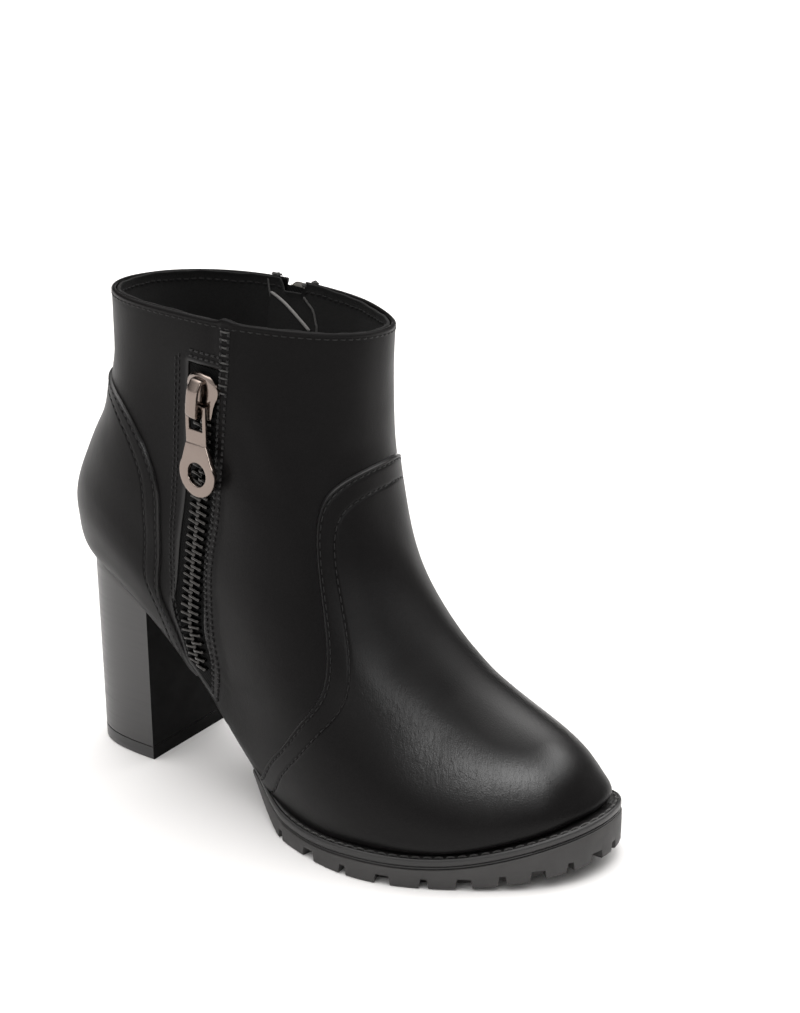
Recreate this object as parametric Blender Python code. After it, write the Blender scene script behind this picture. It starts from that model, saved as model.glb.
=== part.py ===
"""Heeled ankle boot for the right foot, with a block heel, a lugged forefoot and two zips.

Sizes are in millimetres, and MM turns them into metres.
X runs from the back of the heel to the toe, -Y is the lateral side and Z is up.
The floor is Z = 0, under the heel's top piece and the forefoot's lugs.

A place on the upper is given by an angle and a ring. The angle is 0 at the front of a ring and pi at
its back, and the lateral side lies between. Ring 0 is the feather line, and the last ring is the collar.
"""
import bmesh
import bpy
import numpy as np
from mathutils import Matrix

MM = 0.001
GAP = 0.3
FULL_TURN = 2 * np.pi

# Middle of the finished boot's box, which becomes the origin
BOX_MIDDLE_X = 115.75
BOX_MIDDLE_Y = 1.96

# The last: a row for each ring of the upper, from the feather line to the collar
BACK_X, BACK_Z, FRONT_X, FRONT_Z, HEEL_HALF, WAIST_HALF, BALL_HALF, TOE_HALF, DIP_SHARE = range(9)
RINGS = np.array([
    (4.5, 76.5, 228.5, 22.0, 20.0, 27.0, 39.5, 27.0, 1.00),
    (0.5, 85.0, 230.0, 26.0, 25.5, 29.0, 41.5, 31.0, 1.00),
    (0.0, 95.0, 224.5, 34.5, 28.5, 30.5, 42.0, 31.0, 0.95),
    (0.5, 105.0, 212.5, 47.0, 30.5, 31.5, 40.0, 28.5, 0.85),
    (3.5, 114.5, 192.0, 60.5, 31.0, 32.0, 38.5, 27.5, 0.70),
    (8.0, 124.0, 171.0, 76.5, 31.0, 33.0, 37.5, 28.0, 0.52),
    (13.0, 134.0, 154.5, 95.0, 31.5, 34.5, 37.0, 28.0, 0.35),
    (18.5, 145.0, 144.5, 116.0, 32.0, 35.5, 37.0, 28.0, 0.20),
    (22.0, 157.5, 139.0, 140.0, 32.5, 37.5, 37.5, 27.5, 0.10),
    (23.0, 173.0, 137.0, 164.0, 33.5, 40.0, 38.0, 26.0, 0.04),
    (22.0, 190.0, 138.0, 189.0, 35.0, 43.0, 38.0, 24.0, 0.00),
])
COLLAR_RING = len(RINGS) - 1
HALF_WIDTH_STATIONS = np.array([0.14, 0.42, 0.70, 0.90])
ROUNDNESS = 2.2

# Height of the feather line above the floor, as station and height, from the back (0) to the front (1)
SOLE_LINE = np.array([
    (0.00, 76.5), (0.14, 70.0), (0.28, 50.0), (0.42, 22.0),
    (0.56, 11.0), (0.70, 12.0), (0.85, 13.0), (1.00, 22.0),
])
# Sideways curve of the foot's centre line, as x and y
BEND_LINE = np.array([(0.0, 0.0), (60.0, 0.0), (120.0, -5.0), (170.0, -5.0), (230.0, 11.0)])
# The shaft leans to the medial side above this ring, and its collar tilts with it
LEAN_START_RING = 4.0
LEAN_POWER = 1.5
SHAFT_LEAN = 8.4
COLLAR_TILT = -0.13

WALL = 2.0
INSOLE_THICKNESS = 3.0
INSOLE_CLEARANCE = 0.5

# Sole layers
WELT_MARGIN = 4.0
WAIST_MARGIN = -0.5
WELT_THICKNESS = 4.0
WAIST_THICKNESS = 1.5
WAIST_END_X = 98.0
WELT_START_X = 128.0
OUTSOLE_MARGIN = 4.3
OUTSOLE_MARGIN_RUN = (100.0, 130.0)
OUTSOLE_REAR_X = 102.0
TREAD_REAR_X = 122.0
TREAD_FRONT_X = 192.0
TOE_SPRING = 5.0
TOE_X = 233.0
REAR_EDGE = 1.2

# Notches that cut the outsole's edge into lugs, wide and narrow by turns, and closer together at the toe
NOTCH_FIRST = 5.4
NOTCH_PITCH = 10.3
NOTCH_SPREAD = 0.5
NOTCHES_PER_SIDE = 10
NOTCH_REAR_X = 114.0
NOTCH_WIDTHS = (6.4, 3.6)
NOTCH_FLARE = 1.6
NOTCH_HEIGHT = 4.0
NOTCH_REACH = 12.0
NOTCH_OVERSHOOT = 5.0

# Heel
HEEL_BREAST_X = 44.2
HEEL_BACK_X = 9.4
HEEL_HALF_WIDTH = 22.2
HEEL_TOP_GROWTH = 0.7
HEEL_ROUNDNESS = 3.0
TOP_PIECE_THICKNESS = 5.5

# Overlays: the counter's edge as ring and station, and the band's lateral half as angle and ring
OVERLAY_THICKNESS = 1.0
COUNTER_EDGE = np.array([
    (0.3, 0.300), (1.5, 0.300), (2.5, 0.295), (3.4, 0.292), (4.7, 0.326), (6.0, 0.361), (6.9, 0.354),
])
COUNTER_PEAK_RING = 8.12
COUNTER_SHOULDER = 9.3
BAND_LINE = np.array([
    (1.62, 0.35), (1.50, 1.50), (1.31, 2.95), (1.09, 3.90), (0.91, 4.52), (0.77, 5.10),
    (0.67, 5.65), (0.59, 6.33), (0.53, 7.00), (0.43, 7.48), (0.20, 7.74), (0.00, 7.77),
])
BAND_HALF_WIDTH = 4.6

# Zips: the chain's line on the upper, as ring and station
LATERAL_ZIP_LINE = np.array([
    (0.0, 0.320), (1.4, 0.335), (2.44, 0.352), (3.7, 0.373), (4.74, 0.4125), (5.74, 0.461),
    (6.97, 0.513), (8.37, 0.557), (9.07, 0.574), (10.0, 0.586),
])
MEDIAL_ZIP_LINE = np.array([
    (0.0, 0.300), (2.6, 0.323), (4.0, 0.350), (6.0, 0.385), (8.0, 0.376), (10.0, 0.371),
])
LATERAL_WINDOW_RINGS = (1.4, 9.27)
MEDIAL_SLIT_START_RING = 2.6
# Edges of the slots, as distances from the chain's line, the one nearer the toe first
LATERAL_SLOT = (-6.4, 8.2)
MEDIAL_SLOT = (-4.5, 4.5)
TAPE_DEPTH = 0.8
TAPE_THICKNESS = 1.0
CHAIN_RISE = 1.0
CHAIN_SINK = 0.5
LATERAL_CHAIN = (-4.5, 4.5)
MEDIAL_CHAIN = (-2.2, 2.2)
MEDIAL_CHAIN_RISE = 0.4
TOOTH_PITCH = 3.4
TOOTH_LENGTH = 1.7
TOOTH_SLOPE = 0.3
TOOTH_VALLEY = 0.3
LATERAL_SLIDER_RING = 8.68
MEDIAL_SLIDER_RING = 9.62
MEDIAL_ZIP_SCALE = 0.55

# A slider and its pull at full scale, with the hinge axis at the origin.
# Across is the first number of an outline, and down the zip the second.
SLIDER_OUTLINE = ((-5.2, -13.2), (5.2, -13.2), (7.7, -10.2), (7.3, -6.5), (6.0, 5.4), (-6.0, 5.4),
                  (-7.3, -6.5), (-7.7, -10.2))
SLIDER_THICKNESS = 1.6
BRIDGE_HALF_WIDTH = 2.3
BRIDGE_TOP = -9.6
BRIDGE_BOTTOM = 3.4
BRIDGE_POST = 1.9
BRIDGE_THICKNESS = 1.2
BRIDGE_CLEAR = 2.7
BRIDGE_SINK = 0.5
PULL_THICKNESS = 1.5
YOKE_HALF_WIDTH = 4.9
YOKE_BAR = 1.6
YOKE_LEG = 1.5
YOKE_LENGTH = 8.0
NECK_LENGTH = 6.2
RING_CENTRE = 26.2
RING_RADIUS = 8.2
RING_HOLE_RADIUS = 4.2
RING_SHOULDER_ANGLE = 0.6
RING_SIDES = 14
PULL_REACH = 34.0

# Divisions of the meshes
FRONT_COLUMNS = 16
SLOT_COLUMNS = 2
BACK_COLUMNS = 9
LOW_RINGS = (0.0, 0.45, 0.9)
BODY_RING_STEPS = 15
PLATE_STEPS = 30
STRIP_STEPS = 26
COUNTER_STEPS = 26
COUNTER_ROWS = 15
NUDGE = 1e-3

# Colour, roughness and metallic value of each material
MATERIALS = {
    "leather": ((0.018, 0.017, 0.018), 0.42, 0.0),
    "board": ((0.030, 0.029, 0.029), 0.80, 0.0),
    "welt_rubber": ((0.022, 0.022, 0.023), 0.48, 0.0),
    "sole_rubber": ((0.040, 0.040, 0.042), 0.62, 0.0),
    "heel_wrap": ((0.022, 0.021, 0.021), 0.50, 0.0),
    "zip_cloth": ((0.012, 0.012, 0.013), 0.85, 0.0),
    "gunmetal": ((0.230, 0.215, 0.205), 0.28, 1.0),
    "black_metal": ((0.060, 0.058, 0.056), 0.35, 1.0),
}


def smooth_curve(knots, values):
    """Natural cubic curve through the values at the knots. The values may have several columns."""
    knots = np.asarray(knots, float)
    values = np.asarray(values, float)
    columns = values.reshape(len(knots), -1)
    steps = np.diff(knots)
    slopes = np.diff(columns, axis=0) / steps[:, None]
    system = np.eye(len(knots))
    bends = np.zeros_like(columns)
    for i in range(1, len(knots) - 1):
        system[i, i - 1:i + 2] = steps[i - 1], 2 * (steps[i - 1] + steps[i]), steps[i]
        bends[i] = 6 * (slopes[i] - slopes[i - 1])
    bends = np.linalg.solve(system, bends)

    def at(place):
        place = np.asarray(place, float)
        flat = place.ravel()
        i = np.clip(np.searchsorted(knots, flat) - 1, 0, len(steps) - 1)
        step = steps[i][:, None]
        after = (flat - knots[i])[:, None]
        before = step - after
        cubic = (bends[i] * before**3 + bends[i + 1] * after**3) / (6 * step)
        low = (columns[i] / step - bends[i] * step / 6) * before
        high = (columns[i + 1] / step - bends[i + 1] * step / 6) * after
        return (cubic + low + high).reshape(place.shape + values.shape[1:])

    return at


sole_stations, sole_heights = SOLE_LINE.T


def straight_height(station):
    """Height of the straight line between the feather line's two ends."""
    return sole_heights[0] + (sole_heights[-1] - sole_heights[0]) * station


def round_end(station):
    """Half-width of a unit oval at a station from 0 to 1."""
    return np.clip(1 - np.abs(2 * station - 1) ** ROUNDNESS, 0, 1) ** (1 / ROUNDNESS)


ring_curve = smooth_curve(np.arange(len(RINGS)), RINGS)
dip_curve = smooth_curve(sole_stations, sole_heights - straight_height(sole_stations))
bend_curve = smooth_curve(*BEND_LINE.T)
width_shares = smooth_curve(np.concatenate([[-0.1], HALF_WIDTH_STATIONS, [1.1]]), np.eye(6))


def skin(angle, ring):
    """Points of the upper's outer surface."""
    angle, ring = np.broadcast_arrays(np.asarray(angle, float), np.asarray(ring, float))
    row = ring_curve(ring)
    station = (1 + np.cos(angle)) / 2
    side = np.where(np.sin(angle) >= 0, -1.0, 1.0)
    fullness = row[..., HEEL_HALF:TOE_HALF + 1] / round_end(HALF_WIDTH_STATIONS)
    fullness = np.concatenate([fullness[..., :1], fullness, fullness[..., -1:]], axis=-1)
    half = round_end(station) * (fullness * width_shares(station)).sum(axis=-1)
    lean = np.clip((ring - LEAN_START_RING) / (COLLAR_RING - LEAN_START_RING), 0, 1) ** LEAN_POWER
    x = row[..., BACK_X] + (row[..., FRONT_X] - row[..., BACK_X]) * station
    y = side * half + bend_curve(x)
    z = row[..., BACK_Z] + (row[..., FRONT_Z] - row[..., BACK_Z]) * station
    z = z + row[..., DIP_SHARE] * dip_curve(station)
    return np.stack([x, y + SHAFT_LEAN * lean, z + COLLAR_TILT * y * lean], axis=-1)


def unit(vectors):
    return vectors / np.linalg.norm(vectors, axis=-1, keepdims=True)


def skin_slopes(angle, ring):
    """Change of the skin's points with the angle and with the ring."""
    low = np.clip(np.asarray(ring, float) - NUDGE, 0, COLLAR_RING)
    high = np.clip(np.asarray(ring, float) + NUDGE, 0, COLLAR_RING)
    by_angle = (skin(angle + NUDGE, ring) - skin(angle - NUDGE, ring)) / (2 * NUDGE)
    by_ring = (skin(angle, high) - skin(angle, low)) / (high - low)[..., None]
    return by_angle, by_ring


def layer(angle, ring, height):
    """Points at a height above the skin, or below it where the height is negative."""
    angle, ring, height = np.broadcast_arrays(angle, np.asarray(ring, float), np.asarray(height, float))
    by_angle, by_ring = skin_slopes(angle, ring)
    return skin(angle, ring) + unit(np.cross(by_angle, by_ring)) * -height[..., None]


def feather_station(x):
    """Station of a place along the foot on the feather line."""
    return (x - RINGS[0, BACK_X]) / (RINGS[0, FRONT_X] - RINGS[0, BACK_X])


def feather_height(x):
    """Height of the feather line over a place along the foot."""
    station = feather_station(x)
    return straight_height(station) + dip_curve(station)


def angle_of(station):
    return np.arccos(np.clip(2 * np.asarray(station, float) - 1, -1, 1))


def ease(x, start, end):
    """Rises smoothly from 0 at the start to 1 at the end."""
    share = np.clip((x - start) / (end - start), 0, 1)
    return share * share * (3 - 2 * share)


boot = bpy.data.objects.new("boot_frame", None)


def clear_scene():
    for old in list(bpy.data.objects):
        if old is not boot:
            bpy.data.objects.remove(old)
    bpy.context.scene.collection.objects.link(boot)
    boot.location = (-BOX_MIDDLE_X * MM, -BOX_MIDDLE_Y * MM, 0)


def material(name):
    if name in bpy.data.materials:
        return bpy.data.materials[name]
    colour, roughness, metallic = MATERIALS[name]
    made = bpy.data.materials.new(name)
    made.use_nodes = True
    shader = made.node_tree.nodes["Principled BSDF"]
    shader.inputs["Base Color"].default_value = (*colour, 1)
    shader.inputs["Roughness"].default_value = roughness
    shader.inputs["Metallic"].default_value = metallic
    return made


def add_object(name, mesh, material_name):
    """An object in the boot's frame, shaded smooth with sharp edges kept."""
    mesh.materials.append(material(material_name))
    mesh.shade_smooth()
    mesh.set_sharp_from_angle(angle=np.radians(40))
    made = bpy.data.objects.new(name, mesh)
    made.parent = boot
    bpy.context.scene.collection.objects.link(made)
    return made


def mesh_from(name, points, faces):
    """A mesh from points in millimetres, without the points that no face uses, facing outwards."""
    mesh = bpy.data.meshes.new(name)
    mesh.from_pydata((np.asarray(points, float) * MM).tolist(), [], faces)
    work = bmesh.new()
    work.from_mesh(mesh)
    loose = [point for point in work.verts if not point.link_faces]
    bmesh.ops.delete(work, geom=loose, context="VERTS")
    bmesh.ops.recalc_face_normals(work, faces=work.faces)
    work.to_mesh(mesh)
    work.free()
    return mesh


def walled_grid(outer, inner, present, wraps):
    """A solid between two grids of points, where cells that aren't present are openings."""
    rows, columns = outer.shape[:2]
    count = rows * columns

    def corner(row, column):
        return row * columns + column % columns

    def filled(row, column):
        if wraps:
            column %= present.shape[1]
        inside = 0 <= row < present.shape[0] and 0 <= column < present.shape[1]
        return inside and present[row, column]

    faces = []
    for row, column in np.argwhere(present):
        ring = [corner(row, column), corner(row, column + 1), corner(row + 1, column + 1), corner(row + 1, column)]
        faces.append(ring)
        faces.append([count + point for point in reversed(ring)])
        neighbours = ((row - 1, column), (row, column + 1), (row + 1, column), (row, column - 1))
        for side, neighbour in enumerate(neighbours):
            if not filled(*neighbour):
                a, b = ring[side], ring[(side + 1) % 4]
                faces.append([b, a, count + a, count + b])
    points = np.concatenate([outer.reshape(-1, 3), inner.reshape(-1, 3)])
    return points, faces


def sheet(outer, inner):
    """A solid between two whole open grids."""
    return walled_grid(outer, inner, np.ones((outer.shape[0] - 1, outer.shape[1] - 1), bool), False)


def slab(upper_loop, lower_loop):
    """A solid between two loops that run from a tip down one side and back up the other."""
    count = len(upper_loop)

    def ladder(first):
        rungs = []
        for i in range((count - 1) // 2):
            rung = [i, i + 1, count - 1 - i, (count - i) % count]
            rungs.append([first + point for point in dict.fromkeys(rung)])
        if count % 2 == 0:
            middle = count // 2
            rungs.append([first + point for point in (middle - 1, middle, middle + 1)])
        return rungs

    faces = ladder(0) + [face[::-1] for face in ladder(count)]
    for i in range(count):
        j = (i + 1) % count
        faces.append([j, i, count + i, count + j])
    return np.concatenate([upper_loop, lower_loop]), faces


def prism(outline, holes, low, high):
    """A mesh of a flat outline with holes, from one height to another, in millimetres."""
    work = bmesh.new()
    edges = []
    for loop in (outline, *holes):
        points = [work.verts.new((across, down, low)) for across, down in loop]
        edges += [work.edges.new((points[i - 1], points[i])) for i in range(len(points))]
    bmesh.ops.triangle_fill(work, edges=edges, use_beauty=True)
    raised = bmesh.ops.extrude_face_region(work, geom=work.faces[:])["geom"]
    lifted = [item for item in raised if isinstance(item, bmesh.types.BMVert)]
    bmesh.ops.translate(work, verts=lifted, vec=(0, 0, high - low))
    bmesh.ops.recalc_face_normals(work, faces=work.faces)
    mesh = bpy.data.meshes.new("prism")
    work.to_mesh(mesh)
    work.free()
    return mesh


def add_tool(name, mesh):
    """A hidden shape that a Boolean uses."""
    tool = bpy.data.objects.new(name, mesh)
    tool.parent = boot
    tool.hide_render = True
    tool.display_type = "WIRE"
    bpy.context.scene.collection.objects.link(tool)
    return tool


def boolean(target, tool, operation):
    modifier = target.modifiers.new(operation.lower(), "BOOLEAN")
    modifier.object = tool
    modifier.operation = operation
    modifier.solver = "EXACT"


class ZipLine:
    """A zip's line on the upper: its angle at each ring, and the angles that lie beside it."""

    def __init__(self, line, medial):
        rings, stations = line.T
        self.curve = smooth_curve(rings, angle_of(stations))
        self.turn = -1.0 if medial else 1.0

    def angle(self, ring):
        return self.turn * self.curve(ring) % FULL_TURN

    def beside(self, ring, distance):
        """Angle at a distance from the line, positive towards the back of the boot."""
        ring = np.asarray(ring, float)
        low = np.clip(ring - NUDGE, 0, COLLAR_RING)
        high = np.clip(ring + NUDGE, 0, COLLAR_RING)
        along = unit(skin(self.angle(high), high) - skin(self.angle(low), low))
        by_angle = skin_slopes(self.angle(ring), ring)[0]
        across = by_angle - (by_angle * along).sum(axis=-1, keepdims=True) * along
        return self.angle(ring) + self.turn * distance / np.linalg.norm(across, axis=-1)

    def hang(self, ring, height, reach):
        """Place and directions (across, down, out) of a flat piece that hangs along the line."""
        place = layer(self.angle(ring), ring, height)
        lower_ring = ring
        while np.linalg.norm(skin(self.angle(lower_ring), lower_ring) - place) < reach:
            lower_ring = lower_ring - 0.01
        lower = layer(self.angle(lower_ring), lower_ring, height)
        down = unit(lower - place)
        out = layer(self.angle(ring), ring, 1.0) - skin(self.angle(ring), ring)
        out = unit(out - (out @ down) * down)
        return place, np.stack([np.cross(down, out), down, out], axis=1)


def hanging(directions):
    """Directions of a piece that hangs free on a level axis, which faces the way these directions do."""
    across = unit(directions[:, 0] * (1, 1, 0))
    down = np.array([0.0, 0.0, -1.0])
    return np.stack([across, down, np.cross(across, down)], axis=1)


lateral_zip = ZipLine(LATERAL_ZIP_LINE, medial=False)
medial_zip = ZipLine(MEDIAL_ZIP_LINE, medial=True)


def upper_columns(ring):
    """Angles of the upper's columns at a ring, with the slots' edges among them."""
    stops = (
        (0.0, FRONT_COLUMNS),
        (float(lateral_zip.beside(ring, LATERAL_SLOT[0])), SLOT_COLUMNS),
        (float(lateral_zip.beside(ring, LATERAL_SLOT[1])), BACK_COLUMNS),
        (np.pi, BACK_COLUMNS),
        (float(medial_zip.beside(ring, MEDIAL_SLOT[1])), SLOT_COLUMNS),
        (float(medial_zip.beside(ring, MEDIAL_SLOT[0])), FRONT_COLUMNS),
        (FULL_TURN, 0),
    )
    runs = [np.linspace(a, b, steps, endpoint=False) for (a, steps), (b, _) in zip(stops, stops[1:])]
    return np.concatenate(runs)


def upper_rings():
    """Rings of the upper's rows, with the ends of the window and of the slit among them."""
    body = np.linspace(LATERAL_WINDOW_RINGS[0], LATERAL_WINDOW_RINGS[1], BODY_RING_STEPS + 1)
    body[np.abs(body - MEDIAL_SLIT_START_RING).argmin()] = MEDIAL_SLIT_START_RING
    return np.concatenate([LOW_RINGS, body, [COLLAR_RING]])


def make_upper():
    rings = upper_rings()
    slit_row = int(np.flatnonzero(rings == MEDIAL_SLIT_START_RING)[0])
    angles = np.array([upper_columns(ring) for ring in rings])
    ring_grid = np.broadcast_to(rings[:, None], angles.shape)
    present = np.ones((len(rings) - 1, angles.shape[1]), bool)
    lateral_cells = slice(FRONT_COLUMNS, FRONT_COLUMNS + SLOT_COLUMNS)
    medial_first = FRONT_COLUMNS + SLOT_COLUMNS + 2 * BACK_COLUMNS
    medial_cells = slice(medial_first, medial_first + SLOT_COLUMNS)
    present[len(LOW_RINGS):len(LOW_RINGS) + BODY_RING_STEPS, lateral_cells] = False
    present[slit_row:, medial_cells] = False
    outer = layer(angles, ring_grid, 0.0)
    inner = layer(angles, ring_grid, -WALL)
    points, faces = walled_grid(outer, inner, present, True)
    add_object("upper", mesh_from("upper", points, faces), "leather")


def make_counter():
    """The heel counter: straight up its two edges, then arched to a peak at the back."""
    edge_rings, edge_stations = COUNTER_EDGE.T
    edge = smooth_curve(edge_rings, edge_stations)
    low, shoulder = edge_rings[0], edge_rings[-1]
    across = np.linspace(-1, 1, COUNTER_STEPS + 1)
    up = np.linspace(0, 1, COUNTER_ROWS + 1)[:, None]
    top = COUNTER_PEAK_RING - (COUNTER_PEAK_RING - shoulder) * np.abs(across) ** COUNTER_SHOULDER
    rings = low + (top - low) * up
    reach = np.pi - angle_of(edge(low + (shoulder - low) * up))
    angles = np.pi + reach * across
    points, faces = sheet(layer(angles, rings, GAP + OVERLAY_THICKNESS), layer(angles, rings, GAP))
    add_object("heel_counter", mesh_from("heel_counter", points, faces), "leather")


def strip(angles, rings, half_width, columns):
    """Angles and rings of a strip that follows a line on the skin, as grids."""
    centre = skin(angles, rings)
    along = unit(np.gradient(centre, axis=0))
    by_angle, by_ring = skin_slopes(angles, rings)
    across = np.cross(unit(np.cross(by_angle, by_ring)), along)
    basis = np.stack([by_angle, by_ring], axis=-1)
    turn = np.einsum("kij,kj->ki", np.linalg.pinv(basis), across)
    share = np.linspace(-half_width, half_width, columns + 1)
    grid = np.stack([angles, rings], axis=-1)[:, None] + turn[:, None] * share[:, None]
    return grid[..., 0], np.clip(grid[..., 1], BAND_LINE[0, 1], COLLAR_RING)


def make_vamp_band():
    half_line = smooth_curve(np.linspace(0, 1, len(BAND_LINE)), BAND_LINE)
    share = np.linspace(0, 1, STRIP_STEPS + 1)
    lateral = half_line(share)
    medial = lateral[-2::-1] * (-1, 1)
    line = np.concatenate([lateral, medial])
    angles, rings = strip(line[:, 0], line[:, 1], BAND_HALF_WIDTH, 3)
    points, faces = sheet(layer(angles, rings, GAP + OVERLAY_THICKNESS), layer(angles, rings, GAP))
    add_object("vamp_band", mesh_from("vamp_band", points, faces), "leather")


def plan_loop(angles, margin):
    """Outline in plan at a margin outside the feather line, as rows of x and y."""
    here = skin(angles, 0.0)
    tangent = skin_slopes(angles, 0.0)[0][:, :2]
    outward = unit(np.stack([-tangent[:, 1], tangent[:, 0]], axis=-1))
    if callable(margin):
        margin = margin(here[:, 0])[:, None]
    return here[:, :2] + outward * margin


def raised(loop, height):
    """A loop in plan, lifted to a height that depends on x."""
    return np.column_stack([loop, height(loop[:, 0])])


def whole_angles():
    return np.linspace(0, FULL_TURN, 2 * PLATE_STEPS, endpoint=False)


def welt_margin(x):
    return WAIST_MARGIN + (WELT_MARGIN - WAIST_MARGIN) * ease(x, WAIST_END_X, WELT_START_X)


def welt_top(x):
    return feather_height(x) - GAP


def welt_underside(x):
    thickness = WAIST_THICKNESS + (WELT_THICKNESS - WAIST_THICKNESS) * ease(x, WAIST_END_X, WELT_START_X)
    return welt_top(x) - thickness


def make_insole():
    loop = plan_loop(whole_angles(), -(WALL + INSOLE_CLEARANCE))
    top = raised(loop, lambda x: feather_height(x) + INSOLE_THICKNESS)
    points, faces = slab(top, raised(loop, feather_height))
    add_object("insole", mesh_from("insole", points, faces), "board")


def make_welt():
    loop = plan_loop(whole_angles(), welt_margin)
    points, faces = slab(raised(loop, welt_top), raised(loop, welt_underside))
    add_object("welt", mesh_from("welt", points, faces), "welt_rubber")


def outsole_top(x):
    return welt_underside(x) - GAP


def outsole_bottom(x):
    """Flat under the ball, lifted at the toe and cut up to the waist at the rear."""
    toe = TOE_SPRING * np.clip((x - TREAD_FRONT_X) / (TOE_X - TREAD_FRONT_X), 0, None) ** 2
    rear = np.clip((TREAD_REAR_X - x) / (TREAD_REAR_X - OUTSOLE_REAR_X), 0, 1)
    return toe + rear * (outsole_top(x) - REAR_EDGE)


def outsole_margin(x):
    return OUTSOLE_MARGIN * ease(x, *OUTSOLE_MARGIN_RUN)


def outsole_outline(steps):
    """The forefoot's outline from the toe down the lateral side, and back up the medial side."""
    lateral = np.linspace(0, angle_of(feather_station(OUTSOLE_REAR_X)), steps + 1)
    angles = np.concatenate([lateral, FULL_TURN - lateral[:0:-1]])
    return plan_loop(angles, outsole_margin)


def notch(middle, tangent, width):
    """A tapered block that cuts one notch, wider at the tread than above it."""
    outward = np.array([-tangent[1], tangent[0]])
    floor = float(outsole_bottom(middle[0]))
    points = []
    for height, half in ((floor - NOTCH_HEIGHT, width / 2 + NOTCH_FLARE), (floor + NOTCH_HEIGHT, width / 2)):
        for reach in (-NOTCH_REACH, NOTCH_OVERSHOOT):
            for along in (-half, half):
                points.append((*(middle + outward * reach + tangent * along), height))
    faces = [(0, 1, 3, 2), (4, 6, 7, 5), (0, 4, 5, 1), (2, 3, 7, 6), (0, 2, 6, 4), (1, 5, 7, 3)]
    return points, faces


def make_outsole():
    loop = outsole_outline(PLATE_STEPS)
    points, faces = slab(raised(loop, outsole_top), raised(loop, outsole_bottom))
    outsole = add_object("outsole", mesh_from("outsole", points, faces), "sole_rubber")
    fine = outsole_outline(8 * PLATE_STEPS)
    tip = len(fine) // 2
    path = np.concatenate([fine[tip::-1], fine[:tip:-1]])
    run = np.concatenate([[0], np.cumsum(np.linalg.norm(np.diff(path, axis=0), axis=1))])

    def along_edge(distance):
        return np.array([np.interp(distance, run, path[:, axis]) for axis in (0, 1)])

    points = []
    faces = []
    for side in (-1, 1):
        for number in range(NOTCHES_PER_SIDE):
            distance = run[tip] + side * (NOTCH_FIRST + NOTCH_PITCH * number + NOTCH_SPREAD * number**2)
            middle = along_edge(distance)
            if middle[0] > NOTCH_REAR_X:
                tangent = unit(along_edge(distance + 1) - middle)
                block, block_faces = notch(middle, tangent, NOTCH_WIDTHS[number % 2])
                faces += [[len(points) + point for point in face] for face in block_faces]
                points += block
    boolean(outsole, add_tool("notches", mesh_from("notches", points, faces)), "DIFFERENCE")


def heel_loop(growth):
    """The heel's outline in plan, from the middle of its back round to the breast's corners."""
    turn = np.linspace(np.pi / 2, 0, PLATE_STEPS // 3)
    power = 2 / HEEL_ROUNDNESS
    depth = HEEL_BREAST_X - HEEL_BACK_X + growth
    x = HEEL_BREAST_X - depth * np.sin(turn) ** power
    y = (HEEL_HALF_WIDTH + growth) * np.clip(np.cos(turn), 0, 1) ** power
    y[0] = 0
    lateral = np.column_stack([x, -y])
    medial = np.column_stack([x, y])
    return np.concatenate([lateral, medial[:0:-1]])


def make_heel():
    top = raised(heel_loop(HEEL_TOP_GROWTH), lambda x: welt_underside(x) - GAP)
    bottom = raised(heel_loop(0.0), lambda x: np.full_like(x, TOP_PIECE_THICKNESS + GAP))
    points, faces = slab(top, bottom)
    add_object("heel", mesh_from("heel", points, faces), "heel_wrap")
    high = raised(heel_loop(0.0), lambda x: np.full_like(x, TOP_PIECE_THICKNESS))
    low = raised(heel_loop(0.0), np.zeros_like)
    points, faces = slab(high, low)
    add_object("heel_top_piece", mesh_from("heel_top_piece", points, faces), "sole_rubber")


def zip_strip(line, rings, edges, low, high, columns):
    """A strip along a zip's line, between two heights from the skin that may change along it."""
    share = np.linspace(edges[1], edges[0], columns + 1)
    angles = np.array([line.beside(rings, distance) for distance in share]).T
    grid = np.broadcast_to(rings[:, None], angles.shape)
    return sheet(layer(angles, grid, np.broadcast_to(high, rings.shape)[:, None]), layer(angles, grid, low))


def rings_along(line, first, last, distances):
    """Rings at distances along a zip's line from its first ring."""
    fine = np.linspace(first, last, 400)
    steps = np.linalg.norm(np.diff(skin(line.angle(fine), fine), axis=0), axis=1)
    return np.interp(distances, np.concatenate([[0], np.cumsum(steps)]), fine)


def zip_length(line, first, last):
    fine = np.linspace(first, last, 400)
    return np.linalg.norm(np.diff(skin(line.angle(fine), fine), axis=0), axis=1).sum()


def make_tape(name, line, first, last, slot):
    length = zip_length(line, first, last)
    rings = rings_along(line, first, last, np.linspace(GAP, length - GAP, STRIP_STEPS))
    low = -TAPE_DEPTH - TAPE_THICKNESS
    edges = (slot[0] + GAP, slot[1] - GAP)
    points, faces = zip_strip(line, rings, edges, low, -TAPE_DEPTH, 2)
    add_object(name, mesh_from(name, points, faces), "zip_cloth")


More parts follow.
